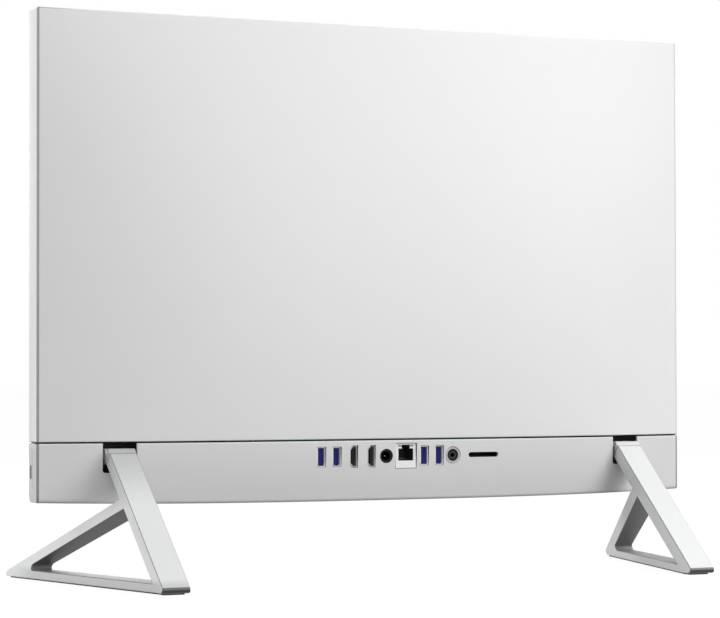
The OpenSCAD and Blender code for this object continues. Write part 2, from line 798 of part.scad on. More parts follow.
module power_jack() {
    s1 = face_s(POWER) - socket_recess;
    color([0.06, 0.06, 0.07]) difference() {
        rod_y(port_x(POWER), port_z, board_back, s1, power_d - 2 * port_fit);
        rod_y(port_x(POWER), port_z, board_back + socket_back, s1 + 1, power_bore);
    }
}

module power_jack_pin() {
    pin = 1.3;
    s1 = face_s(POWER) - socket_recess - 2;
    color("silver") rod_y(port_x(POWER), port_z, board_back + socket_back, s1, pin);
}

// Network socket: a plug-shaped cavity with the latch notch upwards
plug_w = 12.6;
plug_h = 9.2;
latch_w = 6.8;
latch_h = 2.8;
plug_rise = 0.9;

module network_jack() {
    x = port_x(NETWORK);
    z0 = port_z + plug_rise - plug_h / 2;
    s1 = face_s(NETWORK) + 1;
    color("lightgray") difference() {
        socket_shell(NETWORK, net_w - 2 * port_fit, net_h - 2 * port_fit);
        slab(x - plug_w / 2, x + plug_w / 2, board_back + socket_back, s1, z0, z0 + plug_h);
        slab(x - latch_w / 2, x + latch_w / 2, board_back + socket_back, s1, z0, z0 + plug_h + latch_h);
    }
}

module network_contacts() {
    wire = 0.45;
    pitch = 1.1;
    count = 8;
    length = 7;
    z0 = port_z + plug_rise - plug_h / 2;
    color("gold") for (k = [0 : count - 1]) translate([(k - (count - 1) / 2) * pitch - wire / 2, 0, 0])
        slab(port_x(NETWORK), port_x(NETWORK) + wire,
            board_back + socket_back, board_back + socket_back + length, z0 + 1, z0 + 1 + wire);
}

module audio_jack() {
    s1 = face_s(AUDIO) - 0.3;
    well_d = 9.2;
    well = 0.7;
    color("dimgray") difference() {
        rod_y(port_x(AUDIO), port_z, board_back, s1, audio_d - 2 * port_fit);
        rod_y(port_x(AUDIO), port_z, s1 - well, s1 + 1, well_d);
        rod_y(port_x(AUDIO), port_z, board_back + socket_back, s1 + 1, audio_bore);
    }
}

module card_reader() {
    slot_t = 2.4;
    slot_in = 0.8;
    s1 = board_back + reader_l;
    color([0.07, 0.07, 0.08]) difference() {
        slab(row_end - reader_rim, row_end + card_w + reader_rim, board_back, s1,
            port_z - card_h / 2 - reader_rim, port_z + card_h / 2 + reader_rim);
        slab(row_end + slot_in, row_end + card_w - slot_in, board_back + socket_back, s1 + 1,
            port_z - slot_t / 2, port_z + slot_t / 2);
    }
}

module processor() {
    color("darkslategray") slab(pipe_x - cpu_w / 2, pipe_x + cpu_w / 2, board_back, board_back + cpu_t,
        cpu_z - cpu_w / 2, cpu_z + cpu_w / 2);
}

module cold_plate() {
    color("peru") extrude_y(board_back + cpu_t, pipe_s) round_rect(
        pipe_x - plate_w / 2, pipe_x + plate_w / 2, cpu_z - plate_w / 2, cpu_z + plate_w / 2, 4);
}

// Straight pipe that lies on the cold plate and on the fins
module heat_pipe() {
    z0 = cpu_z - plate_w / 2 + 4;
    z1 = fan_z0 + fan_side - 4;
    color("sienna") translate([pipe_x, y_front + pipe_s + pipe_d / 2, z0]) cylinder(d = pipe_d, h = z1 - z0);
}

module fin_stack() {
    n = floor((fan_side - 4) / fin_pitch);
    base = 1;
    color("silver") union() {
        slab(fan_x1, fan_x1 + fin_w, fan_back - base, fan_back,
            fan_z0 + 2, fan_z0 + 2 + (n - 1) * fin_pitch + fin_t);
        for (k = [0 : n - 1]) slab(fan_x1, fan_x1 + fin_w, fan_front + 1, fan_back - base + eps,
            fan_z0 + 2 + k * fin_pitch, fan_z0 + 2 + k * fin_pitch + fin_t);
    }
}

// Blower case: round inlet behind, open side towards the fins, three posts on the chassis plate
module fan_housing() {
    post_in = 6;
    color([0.12, 0.12, 0.13]) difference() {
        union() {
            extrude_y(fan_front, fan_back) round_rect(fan_x0, fan_x1, fan_z0, fan_z0 + fan_side, 5);
            for (p = [[fan_x0 + post_in, fan_z0 + post_in], [fan_x1 - post_in, fan_z0 + post_in],
                [fan_mid[0], fan_z0 + fan_side - post_in]])
                rod_y(p[0], p[1], chassis_back, fan_front + eps, post_d);
        }
        difference() {
            union() {
                rod_y(fan_mid[0], fan_mid[1], fan_front + fan_wall, fan_back - fan_wall, fan_side - 4);
                slab(fan_mid[0], fan_x1 + 1, fan_front + fan_wall, fan_back - fan_wall,
                    fan_z0 + 2, fan_mid[1]);
            }
            rod_y(fan_mid[0], fan_mid[1], fan_front, fan_back - fan_wall - 2, shaft_d);
        }
        rod_y(fan_mid[0], fan_mid[1], fan_back - fan_wall - 1, fan_back + 1, inlet_d);
    }
}

// Hub and blades, turning on the case's shaft
module fan_rotor() {
    float = 0.8;
    s0 = fan_front + fan_wall + float;
    s1 = fan_back - fan_wall - float;
    blade_t = 1;
    color([0.16, 0.16, 0.17]) difference() {
        union() {
            rod_y(fan_mid[0], fan_mid[1], s0, s1, hub_d);
            for (k = [0 : fan_blades - 1]) translate([fan_mid[0], 0, fan_mid[1]])
                rotate([0, k * 360 / fan_blades, 0])
                slab(hub_d / 2 - 1, rotor_d / 2, s0, s1 - 1, -blade_t / 2, blade_t / 2);
        }
        rod_y(fan_mid[0], fan_mid[1], s0 - 1, s1 + 1, shaft_d + 2 * running_gap);
    }
}

// Memory: two sockets, each with a module lying flat over the board
memory_x = board_x0 + 22;
memory_z = [board_z0 + 45, board_z0 + 88];
memory_w = 69.6;
memory_h = 30;
memory_lift = 2.6;

module memory_sockets() {
    rim = 2;
    tail = 6;
    color([0.1, 0.1, 0.11]) for (z = memory_z) difference() {
        slab(memory_x - rim, memory_x + memory_w + rim,
            board_back, board_back + memory_lift + board_t + 1, z, z + tail);
        slab(memory_x - 0.1, memory_x + memory_w + 0.1,
            board_back + memory_lift, board_back + memory_lift + board_t + 2, z + 2, z + tail + 1);
    }
}

module memory_modules() {
    chip_w = 9;
    chip_h = 11;
    chip_t = 1;
    s0 = board_back + memory_lift;
    color("seagreen") for (z = memory_z) union() {
        slab(memory_x, memory_x + memory_w, s0, s0 + board_t, z + 2, z + 2 + memory_h);
        for (k = [0 : 3]) slab(memory_x + 8 + k * 15, memory_x + 8 + k * 15 + chip_w,
            s0 + board_t - eps, s0 + board_t + chip_t, z + 12, z + 12 + chip_h);
    }
}

module ssd_module() {
    x = -16;
    w = 22;
    l = 80;
    z = board_z0 + 42;
    color("midnightblue") union() {
        slab(x, x + w, board_back, board_back + 3.2, z, z + 6);
        slab(x, x + w, board_back + 2, board_back + 3, z, z + l);
        slab(x + 8, x + 14, board_back, board_back + 2.1, z + l - 7, z + l - 1);
        slab(x + 3, x + w - 3, board_back + 3 - eps, board_back + 4.4, z + 18, z + 58);
    }
}

module wireless_card() {
    x = 82;
    w = 22;
    z = board_z0 + 45;
    color("darkolivegreen") union() {
        slab(x, x + w, board_back, board_back + 3.2, z, z + 6);
        slab(x, x + w, board_back + 2, board_back + 3, z, z + 30);
        slab(x + 2, x + w - 2, board_back + 3 - eps, board_back + 4.6, z + 9, z + 27);
        slab(x + 8, x + 14, board_back, board_back + 2.1, z + 23, z + 29);
    }
}

module coin_cell() {
    cell_d = 20;
    color("gray") rod_y(100, board_z0 + 100, board_back, board_back + 3.2, cell_d);
}

// Hard drive in a folded tray on the chassis plate
drive_w = 70;
drive_l = 100;
tray_t = 1;
drive_x = -inner_w + 46;
drive_z = seam_z + 60;

module drive_caddy() {
    color("lightslategray") union() {
        slab(drive_x, drive_x + drive_w, chassis_back, chassis_back + tray_t, drive_z, drive_z + drive_l);
        for (x = [drive_x - tray_t, drive_x + drive_w]) slab(
            x, x + tray_t, chassis_back, chassis_back + tray_t + drive_t - 1, drive_z, drive_z + drive_l);
    }
}

module hard_drive() {
    color("silver") extrude_y(chassis_back + tray_t, chassis_back + tray_t + drive_t)
        round_rect(drive_x, drive_x + drive_w, drive_z, drive_z + drive_l, 1.5);
}

// Loudspeaker box between the speaker bar's front wall and the chassis plate
speaker_l = 96;
speaker_in = 20;
speaker_gap = 5;
boss_x = inner_w - speaker_in - speaker_l - 12;

module speaker_body() {
    x1 = inner_w - speaker_in;
    x0 = x1 - speaker_l;
    z0 = body_bottom + speaker_gap + 2;
    z1 = seam_z - speaker_gap;
    cone_d = min(24, z1 - z0 - 4);
    difference() {
        extrude_y(front_wall, chassis_s) round_rect(x0, x1, z0, z1, 3);
        for (x = [x0 + speaker_l / 4, x1 - speaker_l / 4])
            rod_y(x, (z0 + z1) / 2, front_wall - 1, front_wall + 3, cone_d);
    }
}

module right_speaker() {
    color([0.1, 0.1, 0.1]) speaker_body();
}

module left_speaker() {
    color([0.1, 0.1, 0.1]) mirror([1, 0, 0]) speaker_body();
}

module antennas() {
    length = 40;
    width = 10;
    drop = 34;
    color("orange") for (m = [-1, 1]) slab(
        m * half_w / 2 - length / 2, m * half_w / 2 + length / 2, chassis_back, chassis_back + 1,
        body_top - drop, body_top - drop + width);
}

// Timing board of the display, and the flat cable that feeds it
panel_board_h = 26;
guide_low = cam_top - cam_h - 7;
panel_board_z = (fan_z0 + fan_side + guide_low - panel_board_h) / 2;
panel_board_s = chassis_back + 2;
cable_x0 = -86;
cable_x1 = -64;

module panel_board() {
    w = 180;
    h = panel_board_h;
    color("darkgreen") union() {
        slab(-w / 2, w / 2, panel_board_s, panel_board_s + board_t, panel_board_z, panel_board_z + h);
        for (m = [-1, 1]) rod_y(m * (w / 2 - 6), panel_board_z + h / 2, chassis_back, panel_board_s + eps, 5);
    }
}

module display_cable() {
    t = 0.6;
    low = board_z1 - 5;
    bend = board_z1 + 4;
    s0 = board_back;
    s1 = panel_board_s + board_t;
    high = panel_board_z + 8;
    color("dimgray") translate([0, y_front, 0]) extrude_x(cable_x0, cable_x1) polygon([
        [s0, low], [s0 + t, low], [s0 + t, bend], [s1 + t, panel_board_z - 4], [s1 + t, high], [s1, high],
        [s1, panel_board_z - 4], [s0, bend]]);
}

// Two rails on the chassis plate between which the webcam slides
module webcam_guide() {
    z0 = guide_low + 3;
    z1 = body_top - frame_wall;
    color("darkgray") union() {
        for (m = [-1, 1]) slab(
            min(m * (cam_w / 2 + slide_gap), m * (cam_w / 2 + slide_gap + rail_w)),
            max(m * (cam_w / 2 + slide_gap), m * (cam_w / 2 + slide_gap + rail_w)),
            chassis_back, cam_s + cam_t, z0, z1);
        slab(-cam_w / 2 - slide_gap - rail_w, cam_w / 2 + slide_gap + rail_w,
            chassis_back, cam_s + cam_t, guide_low, z0 + eps);
    }
}

module webcam_body() {
    z_lens = cam_top - lens_drop;
    color("white") difference() {
        extrude_y(cam_s, cam_s + cam_t) round_rect(-cam_w / 2, cam_w / 2, cam_top - cam_h, cam_top, 1);
        rod_y(0, z_lens, cam_s - 1, cam_s + lens_t + 0.3, lens_d + 0.2);
    }
}

module webcam_lens() {
    color([0.05, 0.05, 0.08]) rod_y(0, cam_top - lens_drop, cam_s + 0.3, cam_s + lens_t + 0.3, lens_d);
}

// Cap in the slot, and a wider flange that keeps it in
module power_button() {
    x1 = half_w - button_recess;
    x0 = inner_w - slide_gap - flange_t;
    color("gainsboro") union() {
        slab(x0, x1, button_s - button_w / 2, button_s + button_w / 2,
            button_z - button_l / 2, button_z + button_l / 2);
        slab(x0, x0 + flange_t, button_s - button_w / 2, button_s + button_w / 2,
            button_z - button_l / 2 - button_flange, button_z + button_l / 2 + button_flange);
    }
}

module switch_board() {
    x1 = inner_w - slide_gap - flange_t - switch_gap;
    plunger = 1.2;
    color("darkgreen") union() {
        slab(x1 - plunger - board_t, x1 - plunger, front_wall, chassis_s, button_z - 8, button_z + 8);
        slab(x1 - plunger - eps, x1, button_s - 1.5, button_s + 1.5, button_z - 2, button_z + 2);
    }
}

right_leg();
left_leg();
right_foot_pad();
left_foot_pad();
right_hinge_arm();
left_hinge_arm();
right_hinge_pin();
left_hinge_pin();
right_hinge_bracket();
left_hinge_bracket();
hinge_washers();
back_cover();
io_cover();
mid_frame();
speaker_bar();
display_glass();
lcd_panel();
backlight_unit();
chassis_plate();
chassis_screws();
motherboard();
board_standoffs();
board_screws();
port_bracket();
usb_shells();
usb_tongues();
hdmi_shells();
hdmi_tongues();
power_jack();
power_jack_pin();
network_jack();
network_contacts();
audio_jack();
card_reader();
processor();
cold_plate();
heat_pipe();
fin_stack();
fan_housing();
fan_rotor();
memory_sockets();
memory_modules();
ssd_module();
wireless_card();
coin_cell();
drive_caddy();
hard_drive();
right_speaker();
left_speaker();
antennas();
panel_board();
display_cable();
webcam_guide();
webcam_body();
webcam_lens();
power_button();
switch_board();
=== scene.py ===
"""Looks, stage and camera of an all-in-one desktop computer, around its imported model.

Sizes in the fields are millimetres and meshes are in metres. +Z is up, the display looks
along -Y, and the camera stands behind the object on its +X side.
"""
from __future__ import annotations

import logging
import math
from collections.abc import Callable, Iterable
from dataclasses import dataclass, field
from enum import Enum

import bmesh
import bpy
import numpy as np
from mathutils import Matrix, Vector


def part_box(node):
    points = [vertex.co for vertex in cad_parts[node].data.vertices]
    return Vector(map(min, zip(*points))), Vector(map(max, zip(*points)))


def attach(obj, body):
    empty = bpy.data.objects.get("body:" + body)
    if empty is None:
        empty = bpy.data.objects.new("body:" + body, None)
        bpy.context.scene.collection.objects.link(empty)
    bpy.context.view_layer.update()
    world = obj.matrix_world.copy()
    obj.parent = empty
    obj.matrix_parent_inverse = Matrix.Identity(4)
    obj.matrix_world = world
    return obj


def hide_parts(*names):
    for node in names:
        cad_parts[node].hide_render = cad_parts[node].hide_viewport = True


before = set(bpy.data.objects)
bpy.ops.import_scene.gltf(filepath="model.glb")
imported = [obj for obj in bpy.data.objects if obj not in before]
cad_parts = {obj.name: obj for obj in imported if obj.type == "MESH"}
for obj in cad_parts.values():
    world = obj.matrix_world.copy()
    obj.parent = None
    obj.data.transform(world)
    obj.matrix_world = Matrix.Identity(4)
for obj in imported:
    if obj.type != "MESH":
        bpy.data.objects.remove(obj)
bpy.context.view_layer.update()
MM = 0.001
EPS = 1e-3
SHARP_TURN = 38.0
FLAT_TURN = 0.5
WELD = 0.002
BEVEL_STEPS = 3
LOG = logging.getLogger("all_in_one")
Colour = tuple[float, float, float]
Point = tuple[float, float, float]
ACROSS, BACK, UPRIGHT = (1.0, 0.0, 0.0), (0.0, 1.0, 0.0), (0.0, 0.0, 1.0)
SIDES = (-1.0, 1.0)


class Rider(Enum):
    """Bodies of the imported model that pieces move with."""

    DISPLAY = "display"
    RIGHT_STAND = "right_stand"
    LEFT_STAND = "left_stand"
    WEBCAM = "webcam"
    BUTTON = "button"


class Slot(Enum):
    """Material slots of the record, given with each new piece; nothing reads them."""

    COVER = "white_cover"
    FRAME = "white_frame"
    LEG = "aluminium_leg"
    PAD = "rubber_pad"
    GLASS = "front_glass"
    PLASTIC = "grey_plastic"


def math_method(operation: str, swapped: bool = False) -> Callable[[Value, Value | float], Value]:
    """Make a method that adds one Math node on two values.

    Args:
        operation: what the node works out.
        swapped: whether the other value comes first.

    Returns:
        The method.
    """
    def method(self: Value, other: Value | float) -> Value:
        """Add the node and return its output."""
        first, second = (other, self) if swapped else (self, other)
        return self.graph.node("ShaderNodeMath", {"operation": operation}, {0: first, 1: second})

    return method


class Value:
    """A shader socket that takes part in Python expressions.

    A comparison is one where it holds and zero elsewhere, and a remainder is never negative.
    """

    def __init__(self, graph: Graph, socket: bpy.types.NodeSocket | None) -> None:
        """Keep the socket, and the graph that expressions add their nodes to."""
        self.graph = graph
        self.socket = socket

    __add__ = math_method("ADD")
    __radd__ = math_method("ADD", swapped=True)
    __sub__ = math_method("SUBTRACT")
    __rsub__ = math_method("SUBTRACT", swapped=True)
    __mul__ = math_method("MULTIPLY")
    __rmul__ = math_method("MULTIPLY", swapped=True)
    __gt__ = math_method("GREATER_THAN")
    __mod__ = math_method("FLOORED_MODULO")


class Graph:
    """The node tree of one material or of the world."""

    def __init__(self, owner: bpy.types.Material | bpy.types.World) -> None:
        """Empty the tree of its owner.

        Args:
            owner: the material or the world.
        """
        owner.use_nodes = True
        self.owner = owner
        self.tree = owner.node_tree
        self.tree.nodes.clear()

    def node(self, kind: str, settings: dict | None = None, sockets: dict | None = None,
             out: int | str = 0) -> Value:
        """Add one node.

        Args:
            kind: type of the node.
            settings: properties, set first; "stops" fills a ramp.
            sockets: numbers, colours or values, by the input's name or index.
            out: output that is returned.

        Returns:
            The chosen output as a value.
        """
        made = self.tree.nodes.new(kind)
        for key, setting in (settings or {}).items():
            if key == "stops":
                ramp = made.color_ramp.elements
                while len(ramp) < len(setting):
                    ramp.new(1.0)
                for stop, (place, shade) in zip(ramp, setting):
                    stop.position = place
                    stop.color = (*shade, 1.0)
            else:
                setattr(made, key, setting)
        for key, value in (sockets or {}).items():
            target = made.inputs[key]
            if isinstance(value, Value):
                self.tree.links.new(value.socket, target)
            elif isinstance(value, tuple) and len(value) == 3 and target.type == "RGBA":
                target.default_value = (*value, 1.0)
            else:
                target.default_value = value
        return Value(self, made.outputs[out] if len(made.outputs) else None)

    def place(self, stretch: Point = (1.0, 1.0, 1.0)) -> Value:
        """Object coordinates in millimetres, stretched along the axes.

        Args:
            stretch: factor along each axis.

        Returns:
            The place as a vector.
        """
        coords = self.node("ShaderNodeTexCoord", out="Object")
        scale = tuple(s / MM for s in stretch)
        return self.node("ShaderNodeMapping", sockets={"Vector": coords, "Scale": scale})

    def noise(self, place: Value, size: float, detail: float = 2.0) -> Value:
        """Soft noise from 0 to 1 with spots of a size in millimetres."""
        return self.node("ShaderNodeTexNoise", sockets={
            "Vector": place, "Scale": 1.0 / size, "Detail": detail, "Roughness": 0.55})

    def cells(self, place: Value, size: float, out: str) -> Value:
        """Scattered cells of a size in millimetres: their colours, or the distance from their middles."""
        sockets = {"Vector": place, "Scale": 1.0 / size}
        return self.node("ShaderNodeTexVoronoi", {"feature": "F1"}, sockets, out)

    def flat(self, place: Value) -> list[Value]:
        """X and Z of a place."""
        return [self.node("ShaderNodeSeparateXYZ", sockets={"Vector": place}, out=axis) for axis in "XZ"]

    def mix(self, factor: Value, first: Colour | Value, second: Colour | Value) -> Value:
        """Colour that goes from the first to the second."""
        return self.node("ShaderNodeMix", {"data_type": "RGBA"}, {0: factor, 6: first, 7: second}, 2)

    def bump(self, height: Value, depth: float) -> Value:
        """Normal of a surface whose height, from 0 to 1, is a depth in millimetres."""
        return self.node("ShaderNodeBump", sockets={
            "Strength": 1.0, "Distance": depth * MM, "Height": height})

    def finish(self, sockets: dict) -> bpy.types.Material:
        """Close the tree with a principled surface.

        Args:
            sockets: inputs of the surface.

        Returns:
            The material.
        """
        surface = self.node("ShaderNodeBsdfPrincipled", sockets=sockets)
        self.node("ShaderNodeOutputMaterial", sockets={"Surface": surface})
        return self.owner


def shade(colour: Colour, factor: float) -> Colour:
    """A colour made lighter or darker by a factor."""
    return tuple(min(1.0, c * factor) for c in colour)


def grey(tone: float, tint: float = 0.0) -> Colour:
    """A grey, with a little more blue where it has a tint."""
    return (tone, tone, tone + tint)


@dataclass(frozen=True)
class PaintedShade:
    """Slab of space in which painted shade darkens a surface's tone: shade in seams, grooves and recesses,
    shadow that one part casts on another, and a painted reflection of the dark floor.

    Attributes:
        normal: direction across the slab.
        offset: distance of the slab's middle from the origin along the normal, in millimetres.
        half: half of its thickness in millimetres.
        depth: share of the tone that is lost in it.
        soft: share of the half thickness over which it fades.
        within: another slab that it is kept to.
    """

    normal: Point
    offset: float
    half: float
    depth: float = 1.0
    soft: float = 0.2
    within: PaintedShade | None = None

    def inside(self, graph: Graph, place: Value) -> Value:
        """Depth inside the slab and zero outside, with a soft edge.

        Args:
            graph: tree of the material.
            place: place on the surface in millimetres.

        Returns:
            The share of the tone that is lost there.
        """
        along = graph.node("ShaderNodeVectorMath", {"operation": "DOT_PRODUCT"},
                           {0: place, 1: self.normal}, "Value")
        away = graph.node("ShaderNodeMath", {"operation": "ABSOLUTE"}, {0: along - self.offset})
        depth = graph.node("ShaderNodeMapRange", {"interpolation_type": "SMOOTHSTEP"}, {
            "Value": away, "From Min": self.half * (1 - self.soft), "From Max": self.half * (1 + self.soft),
            "To Min": self.depth, "To Max": 0.0})
        return depth * self.within.inside(graph, place) if self.within else depth


@dataclass(frozen=True)
class Finish:
    """Moulded surface: fine eroded grain, faint drift of tone, and a sheen that drifts with it.

    Attributes:
        name: name of the material.
        colour: middle tone.
        roughness: middle roughness.
        metallic: share of metal.
        grain: size of the grain in millimetres.
        depth: height of the grain in millimetres.
        drift: share by which the tone drifts.
        coat: weight of a clear coat.
        specular: strength of the mirror part.
        joints: slabs of painted shade, in which the tone is darker.
        cloud: size of the clouds in which tone and sheen drift, in millimetres.
        swing: swing of the roughness with the clouds and with the grain.
    """

    name: str
    colour: Colour
    roughness: float = 0.42
    metallic: float = 0.0
    grain: float = 0.5
    depth: float = 0.004
    drift: float = 0.015
    coat: float = 0.0
    specular: float = 0.5
    joints: tuple[PaintedShade, ...] = ()
    cloud: float = 45.0
    swing: float = 0.08

    def spread(self, graph: Graph, factor: Value, drift: float) -> Value:
        """Tone that goes with a factor from a darker to a lighter one."""
        return graph.mix(factor, shade(self.colour, 1 - drift), shade(self.colour, 1 + drift))

    def tone(self, graph: Graph, place: Value, cloud: Value) -> Value:
        """Base colour, drifting with the cloud."""
        return self.spread(graph, cloud, self.drift)

    def height(self, graph: Graph, place: Value) -> Value:
        """Relief of the grain, from 0 to 1."""
        return graph.noise(place, self.grain, 3.0)

    def material(self) -> bpy.types.Material:
        """Build the material, or return the one already built.

        Returns:
            The material, with its tone darkened by painted shade in its slabs.
        """
        made = bpy.data.materials.get(self.name)
        if made:
            return made
        graph = Graph(bpy.data.materials.new(self.name))
        place = graph.place()
        cloud = graph.noise(place, self.cloud, 3.0)
        height = self.height(graph, place)
        rough = self.roughness + (cloud - 0.5) * self.swing + (height - 0.5) * self.swing
        tone = self.tone(graph, place, cloud)
        # Painted shade: each slab pulls the base colour towards black.
        for joint in self.joints:
            tone = graph.mix(joint.inside(graph, place), tone, (0.0, 0.0, 0.0))
        return graph.finish({
            "Base Color": tone, "Roughness": rough, "Metallic": self.metallic,
            "Specular IOR Level": self.specular, "Coat Weight": self.coat, "Coat Roughness": 0.12,
            "Normal": graph.bump(height, self.depth)})


@dataclass(frozen=True)
class Brushed(Finish):
    """Metal brushed upright: long fine streaks in relief and in tone."""

    stretch: Point = (1.0, 1.0, 0.025)

    def tone(self, graph: Graph, place: Value, cloud: Value) -> Value:
        """Base colour, lighter and darker from streak to streak."""
        return self.spread(graph, self.height(graph, place), 2 * self.drift)

    def height(self, graph: Graph, place: Value) -> Value:
        """Relief of the streaks: noise drawn out along the brushing."""
        return graph.noise(graph.place(self.stretch), self.grain, 4.0)


@dataclass(frozen=True)
class Flake(Finish):
    """Metallic paint: small cells of flake, each of its own tone, under a thin clear coat.

    Attributes:
        flake: size of a cell in millimetres.
        share: share of the tone that goes by cell; the rest drifts with the cloud.
    """

    flake: float = 0.35
    share: float = 0.7

    def tone(self, graph: Graph, place: Value, cloud: Value) -> Value:
        """Base colour with a tone of its own in each flake."""
        cells = graph.node("ShaderNodeRGBToBW", sockets={"Color": graph.cells(place, self.flake, "Color")})
        return self.spread(graph, cells * self.share + cloud * (1 - self.share), self.drift)


@dataclass(frozen=True)
class Board(Finish):
    """Circuit board: green mask with fine parallel tracks and scattered bright pads.

    Attributes:
        track: tone of the tracks.
        cover: share of that tone over the mask's own.
        pitch: pitch of the tracks.
        gap: share of the pitch between two tracks.
        region: size of the regions with one direction.
        pad: tone of the pads.
        apart: mean distance of the pads.
        share: radius of a pad as a share of that distance.
    """

    track: Colour = (0.05, 0.3, 0.16)
    cover: float = 0.8
    pitch: float = 1.27
    gap: float = 0.55
    region: float = 14.0
    pad: Colour = (0.7, 0.68, 0.6)
    apart: float = 4.0
    share: float = 0.12

    def tone(self, graph: Graph, place: Value, cloud: Value) -> Value:
        """Tracks run along Z in one region and along X in the next.

        Args:
            graph: tree of the material.
            place: place on the surface in millimetres.
            cloud: drifting noise from 0 to 1.

        Returns:
            The colour.
        """
        upright, level = ((axis % self.pitch) > self.pitch * self.gap for axis in graph.flat(place))
        region = graph.noise(place, self.region, 0.0) > 0.5
        base = graph.mix((upright * region + level * (1 - region)) * self.cover, self.colour, self.track)
        return graph.mix((self.share - graph.cells(place, self.apart, "Distance")) > 0.0, base, self.pad)


@dataclass(frozen=True)
class Screen(Finish):
    """Front glass: a black border around a faintly lighter picture area with a fine pixel grid.

    Attributes:
        half: half of the picture's width.
        low: lower edge of the picture.
        high: upper edge of the picture.
        lit: tone of the picture area.
        pixel: pitch of the pixels.
        line: width of the dark line between two pixels.
        dim: tone of that line as a share of the picture's.
    """

    half: float = 260.0
    low: float = 114.0
    high: float = 408.0
    lit: Colour = (0.020, 0.021, 0.025)
    pixel: float = 0.28
    line: float = 0.05
    dim: float = 0.7

    def tone(self, graph: Graph, place: Value, cloud: Value) -> Value:
        """Border outside the picture, and inside it tones that change from pixel to pixel.

        Args:
            graph: tree of the material.
            place: place on the surface in millimetres.
            cloud: drifting noise from 0 to 1.

        Returns:
            The colour.
        """
        x, z = graph.flat(place)
        inside = (self.half - x > 0.0) * (x > -self.half) * (z > self.low) * (self.high - z > 0.0)
        pixel = ((x % self.pixel) > self.line) * ((z % self.pixel) > self.line)
        return graph.mix(inside, self.colour, graph.mix(pixel, shade(self.lit, self.dim), self.lit))


@dataclass(frozen=True)
class Rings(Finish):
    """Round socket: a pale outer ring, a dark well and a ring of contact metal around the bore.

    Attributes:
        middle: axis of the socket in the XZ plane.
        well: tone of the well.
        metal: tone of the ring around the bore.
        radii: outer radius of the well, and outer and inner radius of the metal ring.
    """

    middle: tuple[float, float] = (0.0, 0.0)
    well: Colour = (0.012, 0.012, 0.013)
    metal: Colour = (0.07, 0.07, 0.072)
    radii: tuple[float, float, float] = (4.62, 2.7, 2.0)

    def tone(self, graph: Graph, place: Value, cloud: Value) -> Value:
        """Tone by the squared distance from the axis.

        Args:
            graph: tree of the material.
            place: place on the surface in millimetres.
            cloud: drifting noise from 0 to 1.

        Returns:
            The colour.
        """
        x, z = (axis - middle for axis, middle in zip(graph.flat(place), self.middle))
        square = x * x + z * z
        well, outer, inner = (square > r * r for r in self.radii)
        ring = graph.mix(inner - outer, self.well, self.metal)
        return graph.mix(well, ring, super().tone(graph, place, cloud))


def placed(name: str, data: bpy.types.ID) -> bpy.types.Object:
    """Make an object of a mesh, a lamp or a camera and link it, at the origin.

    Args:
        name: name of the object.
        data: what it shows.

    Returns:
        The object.
    """
    made = bpy.data.objects.new(name, data)
    bpy.context.scene.collection.objects.link(made)
    return made


def mesh_object(name: str, points: np.ndarray, *groups: np.ndarray) -> bpy.types.Object:
    """Make a smooth object from arrays, with edges that turn sharply left sharp.

    Args:
        name: name of the object.
        points: corners in millimetres, one row each.
        *groups: corner numbers, one row per face; the faces of a group have as many sides.

    Returns:
        The linked object, at the origin.
    """
    mesh = bpy.data.meshes.new(name)
    sides = np.concatenate([np.full(len(group), group.shape[1], dtype=np.int32) for group in groups])
    corners = np.concatenate([group.ravel() for group in groups]).astype(np.int32)
    mesh.vertices.add(len(points))
    mesh.vertices.foreach_set("co", (points * MM).astype(np.float32).ravel())
    mesh.loops.add(len(corners))
    mesh.loops.foreach_set("vertex_index", corners)
    mesh.polygons.add(len(sides))
    mesh.polygons.foreach_set("loop_start", np.cumsum(sides, dtype=np.int32) - sides)
    mesh.polygons.foreach_set("loop_total", sides)
    mesh.update(calc_edges=True)
    mesh.validate()
    mesh.shade_smooth()
    mesh.set_sharp_from_angle(angle=math.radians(SHARP_TURN))
    return placed(name, mesh)


def closed_up(piece: bpy.types.Object) -> bpy.types.Object:
    """Turn the faces of a closed piece outwards.

    Args:
        piece: the piece.

    Returns:
        The same piece.
    """
    work = bmesh.new()
    work.from_mesh(piece.data)
    bmesh.ops.recalc_face_normals(work, faces=work.faces)
    work.to_mesh(piece.data)
    work.free()
    return piece


def grid_faces(rows: int, cols: int) -> np.ndarray:
    """Faces of a grid whose corners are numbered along its rows."""
    corner = np.arange(rows * cols).reshape(rows, cols)
    return np.stack([corner[:-1, :-1], corner[:-1, 1:], corner[1:, 1:], corner[1:, :-1]], -1).reshape(-1, 4)


def band_faces(rings: int, count: int, start: int = 0) -> np.ndarray:
    """Faces between rings of corners, each ring closed on itself, numbered one ring after the other.

    Args:
        rings: number of rings.
        count: corners of each ring.
        start: number of the first corner.

    Returns:
        Four-sided faces, one row each.
    """
    number = start + np.arange(rings * count).reshape(rings, count)
    after = np.roll(number, -1, axis=1)
    return np.stack([number[:-1], after[:-1], after[1:], number[1:]], -1).reshape(-1, 4)


def facing(points: np.ndarray, faces: np.ndarray, outward: Point) -> np.ndarray:
    """Turn round the faces whose normal points against a direction.

    Args:
        points: corners.
        faces: four-sided faces.
        outward: direction that every face should lean towards.

    Returns:
        The faces, turned where needed.
    """
    corners = points[faces]
    normal = np.cross(corners[:, 2] - corners[:, 0], corners[:, 3] - corners[:, 1])
    wrong = normal @ np.array(outward) < 0
    return np.where(wrong[:, None], faces[:, ::-1], faces)


